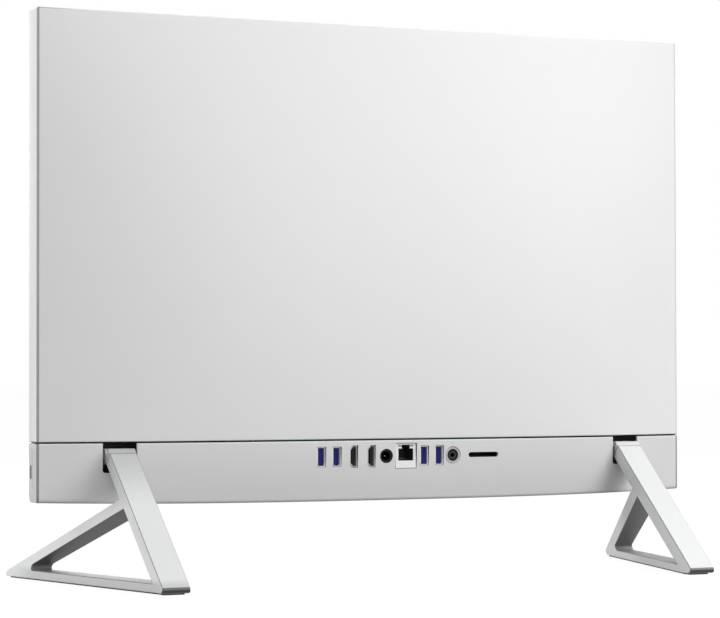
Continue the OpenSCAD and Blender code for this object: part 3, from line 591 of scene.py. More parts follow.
def closed_shell(outer: np.ndarray, inner: np.ndarray, faces: np.ndarray) -> tuple[np.ndarray, np.ndarray]:
    """Close two copies of one surface into a wall.

    The inner copy's faces are turned round, and each edge that only one face uses gets a
    strip between the copies.

    Args:
        outer: corners of the outer copy.
        inner: corners of the inner copy, in the same order.
        faces: faces of the outer copy, turned outwards.

    Returns:
        All corners and all faces.
    """
    count = len(outer)
    edges = np.stack([faces, np.roll(faces, -1, axis=1)], -1).reshape(-1, 2)
    key = np.sort(edges, axis=1)
    _, where, uses = np.unique(key, axis=0, return_index=True, return_counts=True)
    rim = edges[where[uses == 1]]
    strip = np.stack([rim[:, 1], rim[:, 0], rim[:, 0] + count, rim[:, 1] + count], -1)
    return np.concatenate([outer, inner]), np.concatenate([faces, faces[:, ::-1] + count, strip])


def walled(name: str, outer: np.ndarray, inner: np.ndarray) -> bpy.types.Object:
    """Make a closed wall of two grids of points that face the rear.

    Args:
        name: name of the piece.
        outer: grid of outer points.
        inner: grid of inner points.

    Returns:
        The piece.
    """
    outer_points, inner_points = outer.reshape(-1, 3), inner.reshape(-1, 3)
    faces = facing(outer_points, grid_faces(*outer.shape[:2]), BACK)
    return mesh_object(name, *closed_shell(outer_points, inner_points, faces))


def dress(piece: bpy.types.Object, *finishes: Finish) -> bpy.types.Object:
    """Give an object its finishes, in the order of its faces' material numbers.

    Args:
        piece: the piece.
        *finishes: its finishes.

    Returns:
        The same piece.
    """
    if piece.data.materials:
        piece.data.materials.clear()
    for finish in finishes:
        piece.data.materials.append(finish.material())
    return piece


def settle(piece: bpy.types.Object, rider: Rider, slot: Slot, *nodes: str) -> bpy.types.Object:
    """Tie a new piece to its body, and hide the nodes it stands for.

    Args:
        piece: the piece.
        rider: body that carries it.
        slot: material slot of the record; not used.
        *nodes: nodes that it replaces.

    Returns:
        The piece.
    """
    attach(piece, rider.value)
    if nodes:
        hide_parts(*nodes)
    LOG.info("%s: %d faces on %s", piece.name, len(piece.data.polygons), rider.value)
    return piece


def softened(node: str, name: str, width: float, shortest: float = 0.2, limit: float = 15.0,
             cuts: Iterable[tuple[Point, float]] = ()) -> bpy.types.Object:
    """Copy a node and round its edges.

    Edges that turn by more than the limit are bevelled, and those too short to bevel stay
    sharp. Flat faces are merged up to the cutting planes, which keep each hole in a plain
    patch of its own.

    Args:
        node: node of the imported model.
        name: name of the copy.
        width: width of the bevel in millimetres.
        shortest: shortest edge that is bevelled, in millimetres.
        limit: angle in degrees.
        cuts: cutting planes, each a normal and an offset in millimetres.

    Returns:
        The copy, with a live Bevel.
    """
    work = bmesh.new()
    work.from_mesh(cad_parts[node].data)
    bmesh.ops.remove_doubles(work, verts=work.verts, dist=WELD * MM)
    for normal, offset in cuts:
        whole = [*work.verts, *work.edges, *work.faces]
        cut = bmesh.ops.bisect_plane(work, geom=whole, plane_co=Vector(normal) * offset * MM, plane_no=normal)
        for item in cut["geom_cut"]:
            if isinstance(item, bmesh.types.BMEdge):
                item.seam = True
    bmesh.ops.dissolve_limit(work, angle_limit=math.radians(FLAT_TURN), verts=work.verts, edges=work.edges,
                             delimit={"SEAM"})
    weight = work.edges.layers.float.new("bevel_weight_edge")
    for edge in work.edges:
        if edge.calc_face_angle(0.0) > math.radians(limit):
            if edge.calc_length() >= shortest * MM:
                edge[weight] = 1.0
            else:
                edge.smooth = False
    for face in work.faces:
        face.smooth = True
    mesh = bpy.data.meshes.new(name)
    work.to_mesh(mesh)
    work.free()
    made = placed(name, mesh)
    bevel = made.modifiers.new("rounded", "BEVEL")
    bevel.limit_method = "WEIGHT"
    bevel.width = width * MM
    bevel.segments = BEVEL_STEPS
    bevel.use_clamp_overlap = False
    bevel.harden_normals = True
    return made


@dataclass
class Dome:
    """Rear form that both rear covers share, as in the solid model.

    The swell falls from the middle to the ends as 1 - |x / half| ** power, and rises from
    the top to the seam as a quarter of a sine wave.

    Attributes:
        half: half of the covers' width.
        bottom: height of the lower edge at the ends.
        top: height of the body.
        seam: height of the joint line between the covers.
        gap: width of that line.
        depth: depth of the frame.
        bulge: swell in the middle, at the seam.
        tuck: how far the swell falls back from the seam to the bottom.
        power: power of the swell across the body.
        arch: how far the lower edge hangs down in the middle.
        arch_power: power of that arch.
        wall: wall of the covers.
        rim: wall at their rim.
        rim_flat: width of the rim.
        rim_fade: width over which the rim's wall grows to the full one.
        edge: rear edge of the frame.
    """

    half: float = 269.4
    bottom: float = 59.0
    top: float = 419.5
    seam: float = 102.5
    gap: float = 1.2
    depth: float = 20.0
    bulge: float = 27.0
    tuck: float = 4.0
    power: float = 3.4
    arch: float = 2.5
    arch_power: float = 2.5
    wall: float = 2.0
    rim: float = 0.8
    rim_flat: float = 4.0
    rim_fade: float = 8.0
    edge: float = field(init=False)

    def __post_init__(self) -> None:
        """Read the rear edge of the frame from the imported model."""
        self.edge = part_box("mid_frame")[0][1] / MM + self.depth

    @property
    def above_seam(self) -> tuple[float, float]:
        """Lower and upper edge of the upper cover."""
        return self.seam + self.gap / 2, self.top - self.gap / 2

    @property
    def below_seam(self) -> float:
        """Upper edge of the lower cover."""
        return self.seam - self.gap / 2

    def swell(self, x: np.ndarray) -> np.ndarray:
        """Share of the swell at a distance from the middle."""
        return 1 - np.abs(x / self.half) ** self.power

    def rise(self, z: np.ndarray) -> np.ndarray:
        """Share of the swell at a height.

        Args:
            z: heights.

        Returns:
            A quarter sine above the seam, and below it one less a share of the squared distance.
        """
        above = np.sin(np.pi / 2 * (self.top - z) / (self.top - self.seam))
        below = 1 - ((self.seam - z) / (self.seam - self.bottom)) ** 2 * self.tuck / self.bulge
        return np.where(z >= self.seam, above, below)

    def rear(self, x: np.ndarray, z: np.ndarray) -> np.ndarray:
        """Depth of the outer face."""
        return self.edge + self.bulge * self.swell(x) * self.rise(z)

    def low(self, x: np.ndarray) -> np.ndarray:
        """Height of the bottom edge."""
        return self.bottom - self.arch * (1 - np.abs(x / self.half) ** self.arch_power)

    def thickness(self, inset: np.ndarray) -> np.ndarray:
        """Wall at a distance from the rim."""
        return self.rim + (self.wall - self.rim) * np.clip((inset - self.rim_flat) / self.rim_fade, 0, 1)

    @staticmethod
    def eased(inset: np.ndarray, radius: float) -> np.ndarray:
        """Drop of a rounded edge: that of a quarter circle, from its radius at the edge to zero."""
        short = np.clip(radius - inset, 0, radius)
        return radius - np.sqrt(radius ** 2 - short ** 2)


@dataclass(frozen=True)
class Opening:
    """Round-cornered opening in the lower cover.

    Attributes:
        x: middle across the body.
        width: width.
        low: lower edge.
        high: upper edge.
        radius: radius of the corners.
        margin: bare strip of the cell around it, to either side.
        steps: columns of the grid across its cell.
        notch: whether it runs out through the cover's upper edge.
        cut: width and height of the piece cut off its two corners at +X.
    """

    x: float
    width: float
    low: float
    high: float
    radius: float
    margin: float = 0.7
    steps: int = 6
    notch: bool = False
    cut: tuple[float, float] = (0.0, 0.0)

    def outline(self, points: np.ndarray) -> np.ndarray:
        """Points of the outline, straight out from the core left inside the corners' radius.

        Points beyond a cut corner are drawn back onto the cut.

        Args:
            points: points of the XZ plane around the opening.

        Returns:
            One point of the outline for each.
        """
        reach = self.width / 2 - self.radius
        top = math.inf if self.notch else self.high - self.radius
        core = np.stack([np.clip(points[:, 0], self.x - reach, self.x + reach),
                         np.clip(points[:, 1], self.low + self.radius, top)], -1)
        away = points - core
        goal = core + away / np.linalg.norm(away, axis=1, keepdims=True) * self.radius
        if any(self.cut):
            middle = np.array([self.x, (self.low + self.high) / 2])
            normal = np.stack([np.full(len(goal), self.cut[1]),
                               self.cut[0] * np.sign(goal[:, 1] - middle[1])], -1)
            limit = self.cut[1] * (self.width / 2 - self.cut[0]) + self.cut[0] * (self.high - self.low) / 2
            beyond = np.clip(((goal - middle) * normal).sum(axis=1) - limit, 0, None)
            goal = goal - normal * (beyond / (normal ** 2).sum(axis=1))[:, None]
        return goal


@dataclass
class RearCovers:
    """The two moulded rear covers.

    Attributes:
        dome: form of both covers.
        finish: finish of the upper cover, with painted shade at its edges.
        chin: finish of the lower cover, with painted shade at its ends.
        rim: finish of the walls of the port openings.
        rims: stretch across the body whose openings have such walls.
        row_z: height of the port row.
        cell: half of the height of the cells around the ports.
        leg_x: distance of the leg slots from the middle.
        slot_w: width of a leg slot.
        slot_h: height of a leg slot.
        round_edge: radius of the eased edges.
        chin_round: radius of the lower corner.
        reach: how far the lower cover reaches ahead of the frame's rear edge.
        margin: strip beside an eased edge, or below a leg slot, that the even grid keeps off.
        grid: even grid lines of the upper cover, across and up.
        port_rows: even grid lines of the lower cover over the height of a cell.
        chin_steps: grid steps from there down to the lower corner, round it and forwards below.
        pitch: widest grid step across a bare stretch of the lower cover.
        spare: least wall below an eased edge.
        steep: largest rearward part of the normal of an opening's wall.
        ease: distances of the grid lines from an eased edge.
    """

    dome: Dome
    finish: Finish
    chin: Finish
    rim: Finish
    rims: tuple[float, float] = (-45.6, 62.0)
    row_z: float = 90.0
    cell: float = 10.6
    leg_x: float = 212.0
    slot_w: float = 25.0
    slot_h: float = 22.0
    round_edge: float = 0.6
    chin_round: float = 2.5
    reach: float = 2.6
    margin: float = 2.5
    grid: tuple[int, int] = (141, 91)
    port_rows: int = 17
    chin_steps: tuple[int, int, int] = (8, 5, 6)
    pitch: float = 4.0
    spare: float = 0.1
    steep: float = 0.3
    ease: np.ndarray = field(default_factory=lambda: np.array([0.0, 0.08, 0.25, 0.6, 1.2]))

    def openings(self) -> list[Opening]:
        """Port openings from the first to the last, then the two leg slots.

        Returns:
            The openings.
        """
        z = self.row_z

        def upright(x: float, width: float, height: float, radius: float, steps: int) -> Opening:
            """Opening centred on the port row."""
            return Opening(x, width, z - height / 2, z + height / 2, radius, steps=steps)

        ports = [upright(x, 7.3, 15.2, 0.6, 6) for x in (56.85, 44.25, -28.85, -41.45)]
        ports += [Opening(x, 6.6, z - 8.4, z + 8.4, 0.1, steps=10, cut=(2.2, 2.6)) for x in (30.3, 15.7)]
        ports += [upright(3.3, 10.8, 10.8, 5.4, 14), upright(-13.35, 17.7, 19.4, 0.6, 10)]
        ports += [upright(-53.1, 13.0, 13.0, 6.5, 16), upright(-79.6, 26.0, 3.8, 1.85, 22)]
        seam = self.dome.seam
        ports += [Opening(m * self.leg_x, self.slot_w, seam - self.slot_h, seam, 2.0, 3.0, 14, True)
                  for m in SIDES]
        return ports

    def upper(self) -> bpy.types.Object:
        """Upper cover: the dome as a grid of heights and distances, with its four edges eased.

        Returns:
            The piece.
        """
        dome, ease = self.dome, self.ease
        low, high = dome.above_seam

        def lines(first: float, last: float, count: int) -> np.ndarray:
            """Grid lines between two eased edges."""
            even = np.linspace(first + self.margin, last - self.margin, count)
            return np.concatenate([first + ease, even, (last - ease)[::-1]])

        x, z = np.meshgrid(lines(-dome.half, dome.half, self.grid[0]), lines(low, high, self.grid[1]))
        inset = np.minimum(dome.half - np.abs(x), high - z)
        drop = dome.eased(np.minimum(inset, z - low), self.round_edge)
        wall = np.maximum(dome.thickness(inset), self.round_edge + self.spare)
        outer, inner = (np.stack([x, dome.rear(x, z) - depth, z], -1) for depth in (drop, wall))
        piece = walled("upper_rear_cover", outer, inner)
        return settle(dress(piece, self.finish), Rider.DISPLAY, Slot.COVER, "back_cover")

    def cell_of(self, opening: Opening) -> tuple[float, float, float, float]:
        """Left, right, lower and upper edge of the cell that is cut out around an opening.

        Args:
            opening: the opening.

        Returns:
            The four edges.
        """
        half = opening.width / 2 + opening.margin
        low, high = self.row_z - self.cell, self.row_z + self.cell
        if opening.notch:
            low, high = self.dome.seam - self.slot_h - self.margin, self.dome.below_seam
        return opening.x - half, opening.x + half, low, high

    def columns(self, openings: list[Opening]) -> np.ndarray:
        """Grid columns: those of every cell, and even ones in the bare stretches between.

        Args:
            openings: the openings.

        Returns:
            Distances across the body, in rising order.
        """
        cells = sorted((np.linspace(*self.cell_of(o)[:2], o.steps + 1) for o in openings), key=lambda c: c[0])
        half, ease = self.dome.half, self.ease
        starts = [-half + ease[-1]] + [c[-1] for c in cells]
        ends = [c[0] for c in cells] + [half - ease[-1]]
        bare = [np.linspace(a, b, max(2, int((b - a) / self.pitch) + 2))[1:-1] for a, b in zip(starts, ends)]
        return np.unique(np.round(np.concatenate(cells + bare + [half - ease, ease - half]), 4))

    def path(self, x: np.ndarray, heights: np.ndarray, wall: np.ndarray, radius: float) -> np.ndarray:
        """Rows of the lower cover: down the rear, round the lower corner, then forwards below.

        Args:
            x: columns.
            heights: heights of the rows that keep one height all along.
            wall: distance inwards from the outer face at each column.
            radius: radius of the lower corner on this side of the wall.

        Returns:
            Points, one row of the array per row of the grid.
        """
        dome = self.dome
        low = dome.low(x)
        turn = low + self.chin_round
        down, bend, forward = self.chin_steps
        fall = heights[-1] + (turn - heights[-1]) * np.linspace(0, 1, down + 1)[1:, None]
        z = np.concatenate([np.broadcast_to(heights[:, None], (len(heights), len(x))), fall])
        rear = np.stack([np.broadcast_to(x, z.shape), dome.rear(x, z) - wall, z], -1)
        angle = np.radians(np.linspace(0, 90, bend + 1))[1:, None]
        y_turn = dome.rear(x, turn) - self.chin_round
        across = np.maximum(radius, self.chin_round - wall)
        corner = np.stack([np.broadcast_to(x, (len(angle), len(x))), y_turn + across * np.cos(angle),
                           turn - radius * np.sin(angle)], -1)
        ahead = y_turn + (dome.edge - self.reach - y_turn) * np.linspace(0, 1, forward + 1)[1:, None]
        below = np.stack([np.broadcast_to(x, ahead.shape), ahead,
                          np.broadcast_to(turn - radius, ahead.shape)], -1)
        return np.concatenate([rear, corner, below])

    def skins(self, flat: np.ndarray) -> tuple[np.ndarray, ...]:
        """Outer and inner points of the lower cover's rear at points of the XZ plane.

        Args:
            flat: points, one row each.

        Returns:
            Both sets of points: the outer ones fall off at the eased edges.
        """
        dome, (x, z) = self.dome, flat.T
        inset = dome.half - np.abs(x)
        drop = dome.eased(np.minimum(inset, dome.below_seam - z), self.round_edge)
        return tuple(np.stack([x, dome.rear(x, z) - depth, z], -1) for depth in (drop, dome.thickness(inset)))

    @staticmethod
    def border(rows: list[int], cols: list[int], notch: bool) -> np.ndarray:
        """Grid corners around a cell: down its first side, along below and up its last side.

        Args:
            rows: first and last row of the cell.
            cols: first and last column of the cell.
            notch: whether the way stays open above.

        Returns:
            A row and a column for each corner; without a notch the first one comes again at the end.
        """
        side, along = np.arange(rows[0], rows[1] + 1), np.arange(cols[0], cols[1] + 1)
        row = [side, np.full(len(along) - 1, rows[1]), side[-2::-1]]
        col = [np.full(len(side), cols[0]), along[1:], np.full(len(side) - 1, cols[1])]
        if not notch:
            row.append(np.full(len(along) - 1, rows[0]))
            col.append(along[-2::-1])
        return np.stack([np.concatenate(row), np.concatenate(col)], -1)

    def lower(self) -> bpy.types.Object:
        """Lower cover: a grid with its cells cut out, each filled by rings around its opening.

        Returns:
            The piece.
        """
        dome, openings = self.dome, self.openings()
        top = dome.below_seam
        even = np.linspace(self.row_z + self.cell, self.row_z - self.cell, self.port_rows)
        slot_low = self.cell_of(openings[-1])[2]
        rows = np.unique(np.round(np.concatenate([top - self.ease, even, [slot_low]]), 4))[::-1]
        xs = self.columns(openings)
        inset = dome.half - np.abs(xs)
        outer = self.path(xs, rows, np.zeros_like(xs), self.chin_round)
        inner = self.path(xs, rows, dome.thickness(inset), self.chin_round - dome.wall)
        drop = dome.eased(np.minimum(inset, top - outer[..., 2]), self.round_edge)
        outer[..., 1] -= np.where(outer[..., 2] > dome.low(xs) + EPS, drop, 0)
        faces = grid_faces(*outer.shape[:2])
        skins = [[outer.reshape(-1, 3)], [inner.reshape(-1, 3)]]
        start = len(skins[0][0])
        x, _, z = skins[0][0][faces].mean(axis=1).T
        keep = np.ones(len(faces), dtype=bool)
        rings = []
        for opening in openings:
            left, right, low, high = self.cell_of(opening)
            cols = np.searchsorted(xs, [left - EPS, right - EPS])
            keep &= (x < xs[cols[0]]) | (x > xs[cols[1]]) | (z < low) | (z > high)
            span = [int(np.argmin(np.abs(rows - edge))) for edge in (high, low)]
            loop = self.border(span, cols, opening.notch)
            number = loop @ [len(xs), 1]
            flat = np.stack([xs[loop[:, 1]], rows[loop[:, 0]]], -1)
            goal = opening.outline(flat)
            for share in (0.5, 1.0):
                ring = flat + (goal - flat) * share
                body = ring if opening.notch else ring[:-1]
                for skin, points in zip(skins, self.skins(body)):
                    skin.append(points)
                after = start + np.arange(len(ring)) % len(body)
                rings.append(np.stack([number[:-1], number[1:], after[1:], after[:-1]], -1))
                number = after
                start += len(body)
        points, back = (np.concatenate(skin) for skin in skins)
        back_and_down = (0.0, 1.0, -0.15)
        faces = facing(points, np.concatenate([faces[keep], *rings]), back_and_down)
        used, index = np.unique(faces, return_inverse=True)
        piece = mesh_object("lower_rear_cover", *closed_shell(points[used], back[used], index.reshape(-1, 4)))
        self.mark_rims(piece)
        return settle(dress(piece, self.chin, self.rim), Rider.DISPLAY, Slot.COVER, "io_cover")

    def mark_rims(self, piece: bpy.types.Object) -> None:
        """Give the walls of the port openings the second material.

        Args:
            piece: the lower cover.
        """
        polygons = piece.data.polygons
        normal, middle = np.empty((2, len(polygons) * 3))
        polygons.foreach_get("normal", normal)
        polygons.foreach_get("center", middle)
        x, _, z = middle.reshape(-1, 3).T / MM
        walls = (np.abs(normal[1::3]) < self.steep) & (np.abs(z - self.row_z) < self.cell)
        walls &= (x > self.rims[0]) & (x < self.rims[1])
        polygons.foreach_set("material_index", walls.astype(np.int32))

    def build(self) -> None:
        """Make both covers."""
        self.upper()
        self.lower()


@dataclass(frozen=True)
class FootShape:
    """One foot seen from its side: a leaning bar, with a strut and a base bar around a window.

    The foot is as wide as the bar along the bar. Ahead of the bar both of its sides run
    outwards, straight to the front tip.

    Attributes:
        edge: rear edge of the frame.
        x: middle of the bar across the body.
        width: width of the bar.
        lean: lean of the bar, in degrees.
        off: distance of the bar's rear face from the hinge.
        thick: thickness of the bar.
        splay: how far the tip lies outside the bar.
        tip: width of the tip.
        slope: slope of the strut, in degrees.
        strut: thickness of the strut.
        base: thickness of the base bar.
        bend: radius of the nose, the heel and the window's front corner.
        solid: length of the full nose ahead of the window.
        pad: thickness of the rubber pad below.
        reach: how far the nose lies ahead of the frame's rear edge.
        heel: how far the heel lies behind it.
        hinge_back: how far the hinge lies behind it.
        hinge_z: height of the hinge.
        joint: distance from the hinge to the bar's upper end.
        round_edge: radius of the rounded edges.
        hold: width of the flat strip beside a rounded edge.
        set_back: how far behind the bar's front face its sides start to splay.
        steps: points of an arc.
    """

    edge: float
    x: float = 212.0
    width: float = 20.6
    lean: float = 50.0
    off: float = 11.9
    thick: float = 11.0
    splay: float = 47.3
    tip: float = 15.2
    slope: float = 24.4
    strut: float = 9.2
    base: float = 5.9
    bend: float = 2.4
    solid: float = 8.5
    pad: float = 1.2
    reach: float = 84.5
    heel: float = 126.25
    hinge_back: float = 6.0
    hinge_z: float = 92.1
    joint: float = 10.3
    round_edge: float = 0.45
    hold: float = 0.5
    set_back: float = 0.3
    steps: int = 17

    @property
    def hinge(self) -> np.ndarray:
        """Hinge axis in the YZ plane."""
        return np.array([self.edge + self.hinge_back, self.hinge_z])

    @property
    def down(self) -> np.ndarray:
        """Direction down the bar."""
        return np.array([math.sin(math.radians(self.lean)), -math.cos(math.radians(self.lean))])

    @property
    def out(self) -> np.ndarray:
        """Direction out of the bar's rear face."""
        return np.array([math.cos(math.radians(self.lean)), math.sin(math.radians(self.lean))])

    def arc(self, middle: np.ndarray, first: float, last: float) -> np.ndarray:
        """Points of an arc between two angles in degrees."""
        angle = np.radians(np.linspace(first, last, self.steps))
        return middle + self.bend * np.stack([np.cos(angle), np.sin(angle)], -1)

    def loops(self) -> tuple[np.ndarray, np.ndarray]:
        """Outline and window in the YZ plane.

        Returns:
            The outline from the top of the bar to the strut's root, along the strut, round the
            nose, along the sole and round the heel; and the window from its top corner.
        """
        front = self.off - self.thick
        slope = math.radians(self.slope)
        nose = np.array([self.edge - self.reach + self.bend, self.pad + self.bend])
        heel = np.array([self.edge + self.heel, self.pad + self.bend])
        along = np.array([math.cos(slope), math.sin(slope)])
        crown = nose + self.bend * np.array([-math.sin(slope), math.cos(slope)])

        def to_bar(point: np.ndarray, way: np.ndarray) -> np.ndarray:
            """Where a line from a point meets the bar's front face."""
            return point + way * ((front - (point - self.hinge) @ self.out) / (way @ self.out))

        root = to_bar(crown, along)
        under = np.array([nose[0] + self.solid, self.pad])
        fall = root - np.array([0.0, self.strut / math.cos(slope)]) - under
        tilt = math.atan2(fall[1], fall[0])
        corner = under + fall * (self.base / fall[1])
        fillet = corner + self.bend * np.array([1.0 / math.tan(tilt / 2), 1.0])
        level = np.array([1.0, 0.0])
        top = self.hinge + self.joint * self.down
        outline = np.concatenate([
            [top + self.off * self.out, top + front * self.out, root], self.arc(nose, 90 + self.slope, 270),
            [to_bar(under, level)], self.arc(heel, -90, self.lean)])
        window = np.concatenate([
            [to_bar(under, fall), to_bar(under + np.array([0.0, self.base]), level)],
            self.arc(fillet, 270, 90 + math.degrees(tilt))])
        return outline, window

    def side(self, points: np.ndarray, sign: np.ndarray) -> np.ndarray:
        """Distance across the body of either side face at points of the YZ plane.

        Args:
            points: points of the YZ plane.
            sign: -1 for the inner and 1 for the outer side.

        Returns:
            Distances that grow in a straight line from the crease to the tip.
        """
        crease = self.off - self.thick + self.set_back
        tip = np.array([self.edge - self.reach, self.pad + self.bend])
        depth = crease - (points - self.hinge) @ self.out
        share = np.clip(depth / (crease - (tip - self.hinge) @ self.out), 0, None)
        return self.x + sign * self.width / 2 + share * (self.splay + sign * (self.tip - self.width) / 2)

    def sweep(self, loop: np.ndarray) -> np.ndarray:
        """Carry the profile of the wall along a loop.

        The profile goes from one side face through a quarter circle onto the wall, across it
        and through another quarter circle onto the other side face. Each corner of the loop is
        set in along its mitre.

        Args:
            loop: points with the solid on their left.

        Returns:
            Points, one row of the array per point of the profile.
        """
        quarter = np.radians([90.0, 90.0, 60.0, 30.0, 0.0, 0.0])
        half = len(quarter)
        turn = np.concatenate([quarter, quarter[::-1]])
        inset = self.round_edge * (1 - np.cos(turn))
        drop = self.round_edge * (1 - np.sin(turn))
        inset[[0, -1]] += self.hold
        drop[[half - 1, half]] += self.hold
        sign = np.repeat(SIDES, half)[:, None]
        step = np.roll(loop, -1, axis=0) - loop
        step /= np.linalg.norm(step, axis=1, keepdims=True)
        left = np.stack([-step[:, 1], step[:, 0]], -1)
        before = np.roll(left, 1, axis=0)
        mitre = (left + before) / (1 + (left * before).sum(axis=1, keepdims=True))
        flat = loop + mitre * inset[:, None, None]
        across = self.side(flat, sign) - sign * drop[:, None]
        return np.concatenate([across[..., None], flat], -1)

    def piece(self, name: str, mirror: float) -> bpy.types.Object:
        """Build the foot, with the second material, a painted shade, in its window and the third, a painted
        shade, along the bar's edges.

        Args:
            name: name of the piece.
            mirror: 1 for the foot at +X and -1 for the other.

        Returns:
            The closed piece.
        """
        outline, window = self.loops()
        outer, inner = self.sweep(outline), self.sweep(window)
        count = outer.shape[0] * outer.shape[1]
        groups = [band_faces(*outer.shape[:2]), band_faces(*inner.shape[:2], count)]
        bands = len(outer) - 1
        sole = 3 + self.steps
        for row in (0, bands):
            out_row = row * len(outline)
            in_row = count + row * len(window)
            heel = out_row + np.arange(sole, len(outline))
            bar = np.concatenate([out_row + np.arange(3), in_row + np.arange(2), heel])
            front = out_row + np.arange(2, sole + 1)
            ring = np.concatenate([front, in_row + np.arange(1, len(window)), [in_row]])
            groups += [bar[None, :], ring[None, :]]
        points = np.concatenate([outer.reshape(-1, 3), inner.reshape(-1, 3)]) * np.array([mirror, 1.0, 1.0])
        made = closed_up(mesh_object(name, points, *groups))
        walls, window_walls = len(groups[0]), len(groups[1])
        kind = np.zeros(len(made.data.polygons), dtype=np.int32)
        rounded = [1, 2, 3, 7, 8, 9]
        kind[:walls].reshape(bands, -1)[rounded, -1] = 2
        kind[walls:walls + window_walls].reshape(bands, -1)[1:-1] = 1
        made.data.polygons.foreach_set("material_index", kind)
        return made


@dataclass
class Stand:
    """Two splayed feet, their hinge arms and their rubber pads.

    Attributes:
        shape: form of both feet.
        metal: finish of a leg, with painted shade and a painted reflection.
        inner: finish of its window, the silver paint darkened as painted shade.
        edge: finish of its sharp edges, the silver paint darkened as painted shade.
        arm: finish of a hinge arm, with painted shade.
        rubber: finish of a pad.
        arm_round: width of the arms' rounded edges.
        pad_round: width of the pads' rounded edges.
    """

    shape: FootShape
    metal: Finish
    inner: Finish
    edge: Finish
    arm: Finish
    rubber: Finish
    arm_round: float = 0.35
    pad_round: float = 0.3

    def build(self) -> None:
        """Make each casting, and round the edges of its arm and its pad."""
        for side, mirror, rider in (("right", 1.0, Rider.RIGHT_STAND), ("left", -1.0, Rider.LEFT_STAND)):
            leg = self.shape.piece(f"{side}_leg_casting", mirror)
            dress(leg, self.metal, self.inner, self.edge)
            settle(leg, rider, Slot.LEG, f"{side}_leg")
            for part, name, width, finish, slot in (
                    ("hinge_arm", "hinge_knuckle", self.arm_round, self.arm, Slot.LEG),
                    ("foot_pad", "rubber_pad", self.pad_round, self.rubber, Slot.PAD)):
                node = f"{side}_{part}"
                settle(dress(softened(node, f"{side}_{name}", width), finish), rider, slot, node)


@dataclass
class Casing:
    """Frame, speaker bar, front glass, webcam and power button.

    Attributes:
        frame_finish: finish of the frame, with painted shade in the seam and the groove.
        bar_finish: finish of the speaker bar, a white moulding painted darker as shade.
        glass: finish of the front glass.
        camera: finish of the webcam.
        button: finish of the power button.
        moulding_round: width of the frame's and the bar's rounded edges.
        small_round: width of the other rounded edges.
        short_edge: shortest edge that is rounded.
        lens_edge: the same on the webcam, whose lens seat has shorter ones.
        hole_y: column of sound holes in the bar's ends.
        hole_room: half of the strip that is kept for that column.
        hole_rows: lower and upper end of that column.
        grille: ends of the sound holes in the front.
        vents: outer end of the air slots below.
        slots: ends of the air slots in the top.
        half_way: height at which the frame's sides are parted.
        lens_z: height of the webcam's lens.
        lens_room: half of the square that is kept for the lens.
    """

    frame_finish: Finish
    bar_finish: Finish
    glass: Finish
    camera: Finish
    button: Finish
    moulding_round: float = 0.35
    small_round: float = 0.3
    short_edge: float = 0.2
    lens_edge: float = 0.05
    hole_y: float = -34.275
    hole_room: float = 0.85
    hole_rows: tuple[float, float] = (67.2, 98.5)
    grille: tuple[float, float] = (173.6, 228.6)
    vents: float = 94.0
    slots: tuple[float, float] = (60.0, 215.0)
    half_way: float = 250.0
    lens_z: float = 409.3
    lens_room: float = 6.0

    def cuts(self) -> dict[str, list[tuple[Point, float]]]:
        """Planes that part the holes of a piece from its edges, by the piece's node.

        Returns:
            Normals and offsets.
        """
        def pairs(normal: Point, middle: float, *away: float) -> list[tuple[Point, float]]:
            """Planes at distances to either side of a middle."""
            return [(normal, middle + side * distance) for side in SIDES for distance in away]

        return {
            "mid_frame": [*pairs(ACROSS, 0.0, *self.slots), (UPRIGHT, self.half_way)],
            "webcam_body": pairs(ACROSS, 0.0, self.lens_room) + pairs(UPRIGHT, self.lens_z, self.lens_room),
            "speaker_bar": [*pairs(ACROSS, 0.0, *self.grille, self.vents),
                            *pairs(BACK, self.hole_y, self.hole_room),
                            *((UPRIGHT, z) for z in self.hole_rows)],
        }

    def build(self) -> None:
        """Round the edges of the frame's pieces and dress them."""
        cuts = self.cuts()
        wide, small = self.moulding_round, self.small_round
        for node, name, width, finish, rider, slot in (
                ("mid_frame", "frame_ring", wide, self.frame_finish, Rider.DISPLAY, Slot.FRAME),
                ("speaker_bar", "speaker_bar_moulding", wide, self.bar_finish, Rider.DISPLAY, Slot.FRAME),
                ("display_glass", "front_glass", small, self.glass, Rider.DISPLAY, Slot.GLASS),
                ("webcam_body", "webcam_slider", small, self.camera, Rider.WEBCAM, Slot.FRAME),
                ("power_button", "power_button_cap", small, self.button, Rider.BUTTON, Slot.PLASTIC)):
            shortest = self.lens_edge if rider is Rider.WEBCAM else self.short_edge
            piece = softened(node, name, width, shortest, cuts=cuts.get(node, ()))
            settle(dress(piece, finish), rider, slot, node)


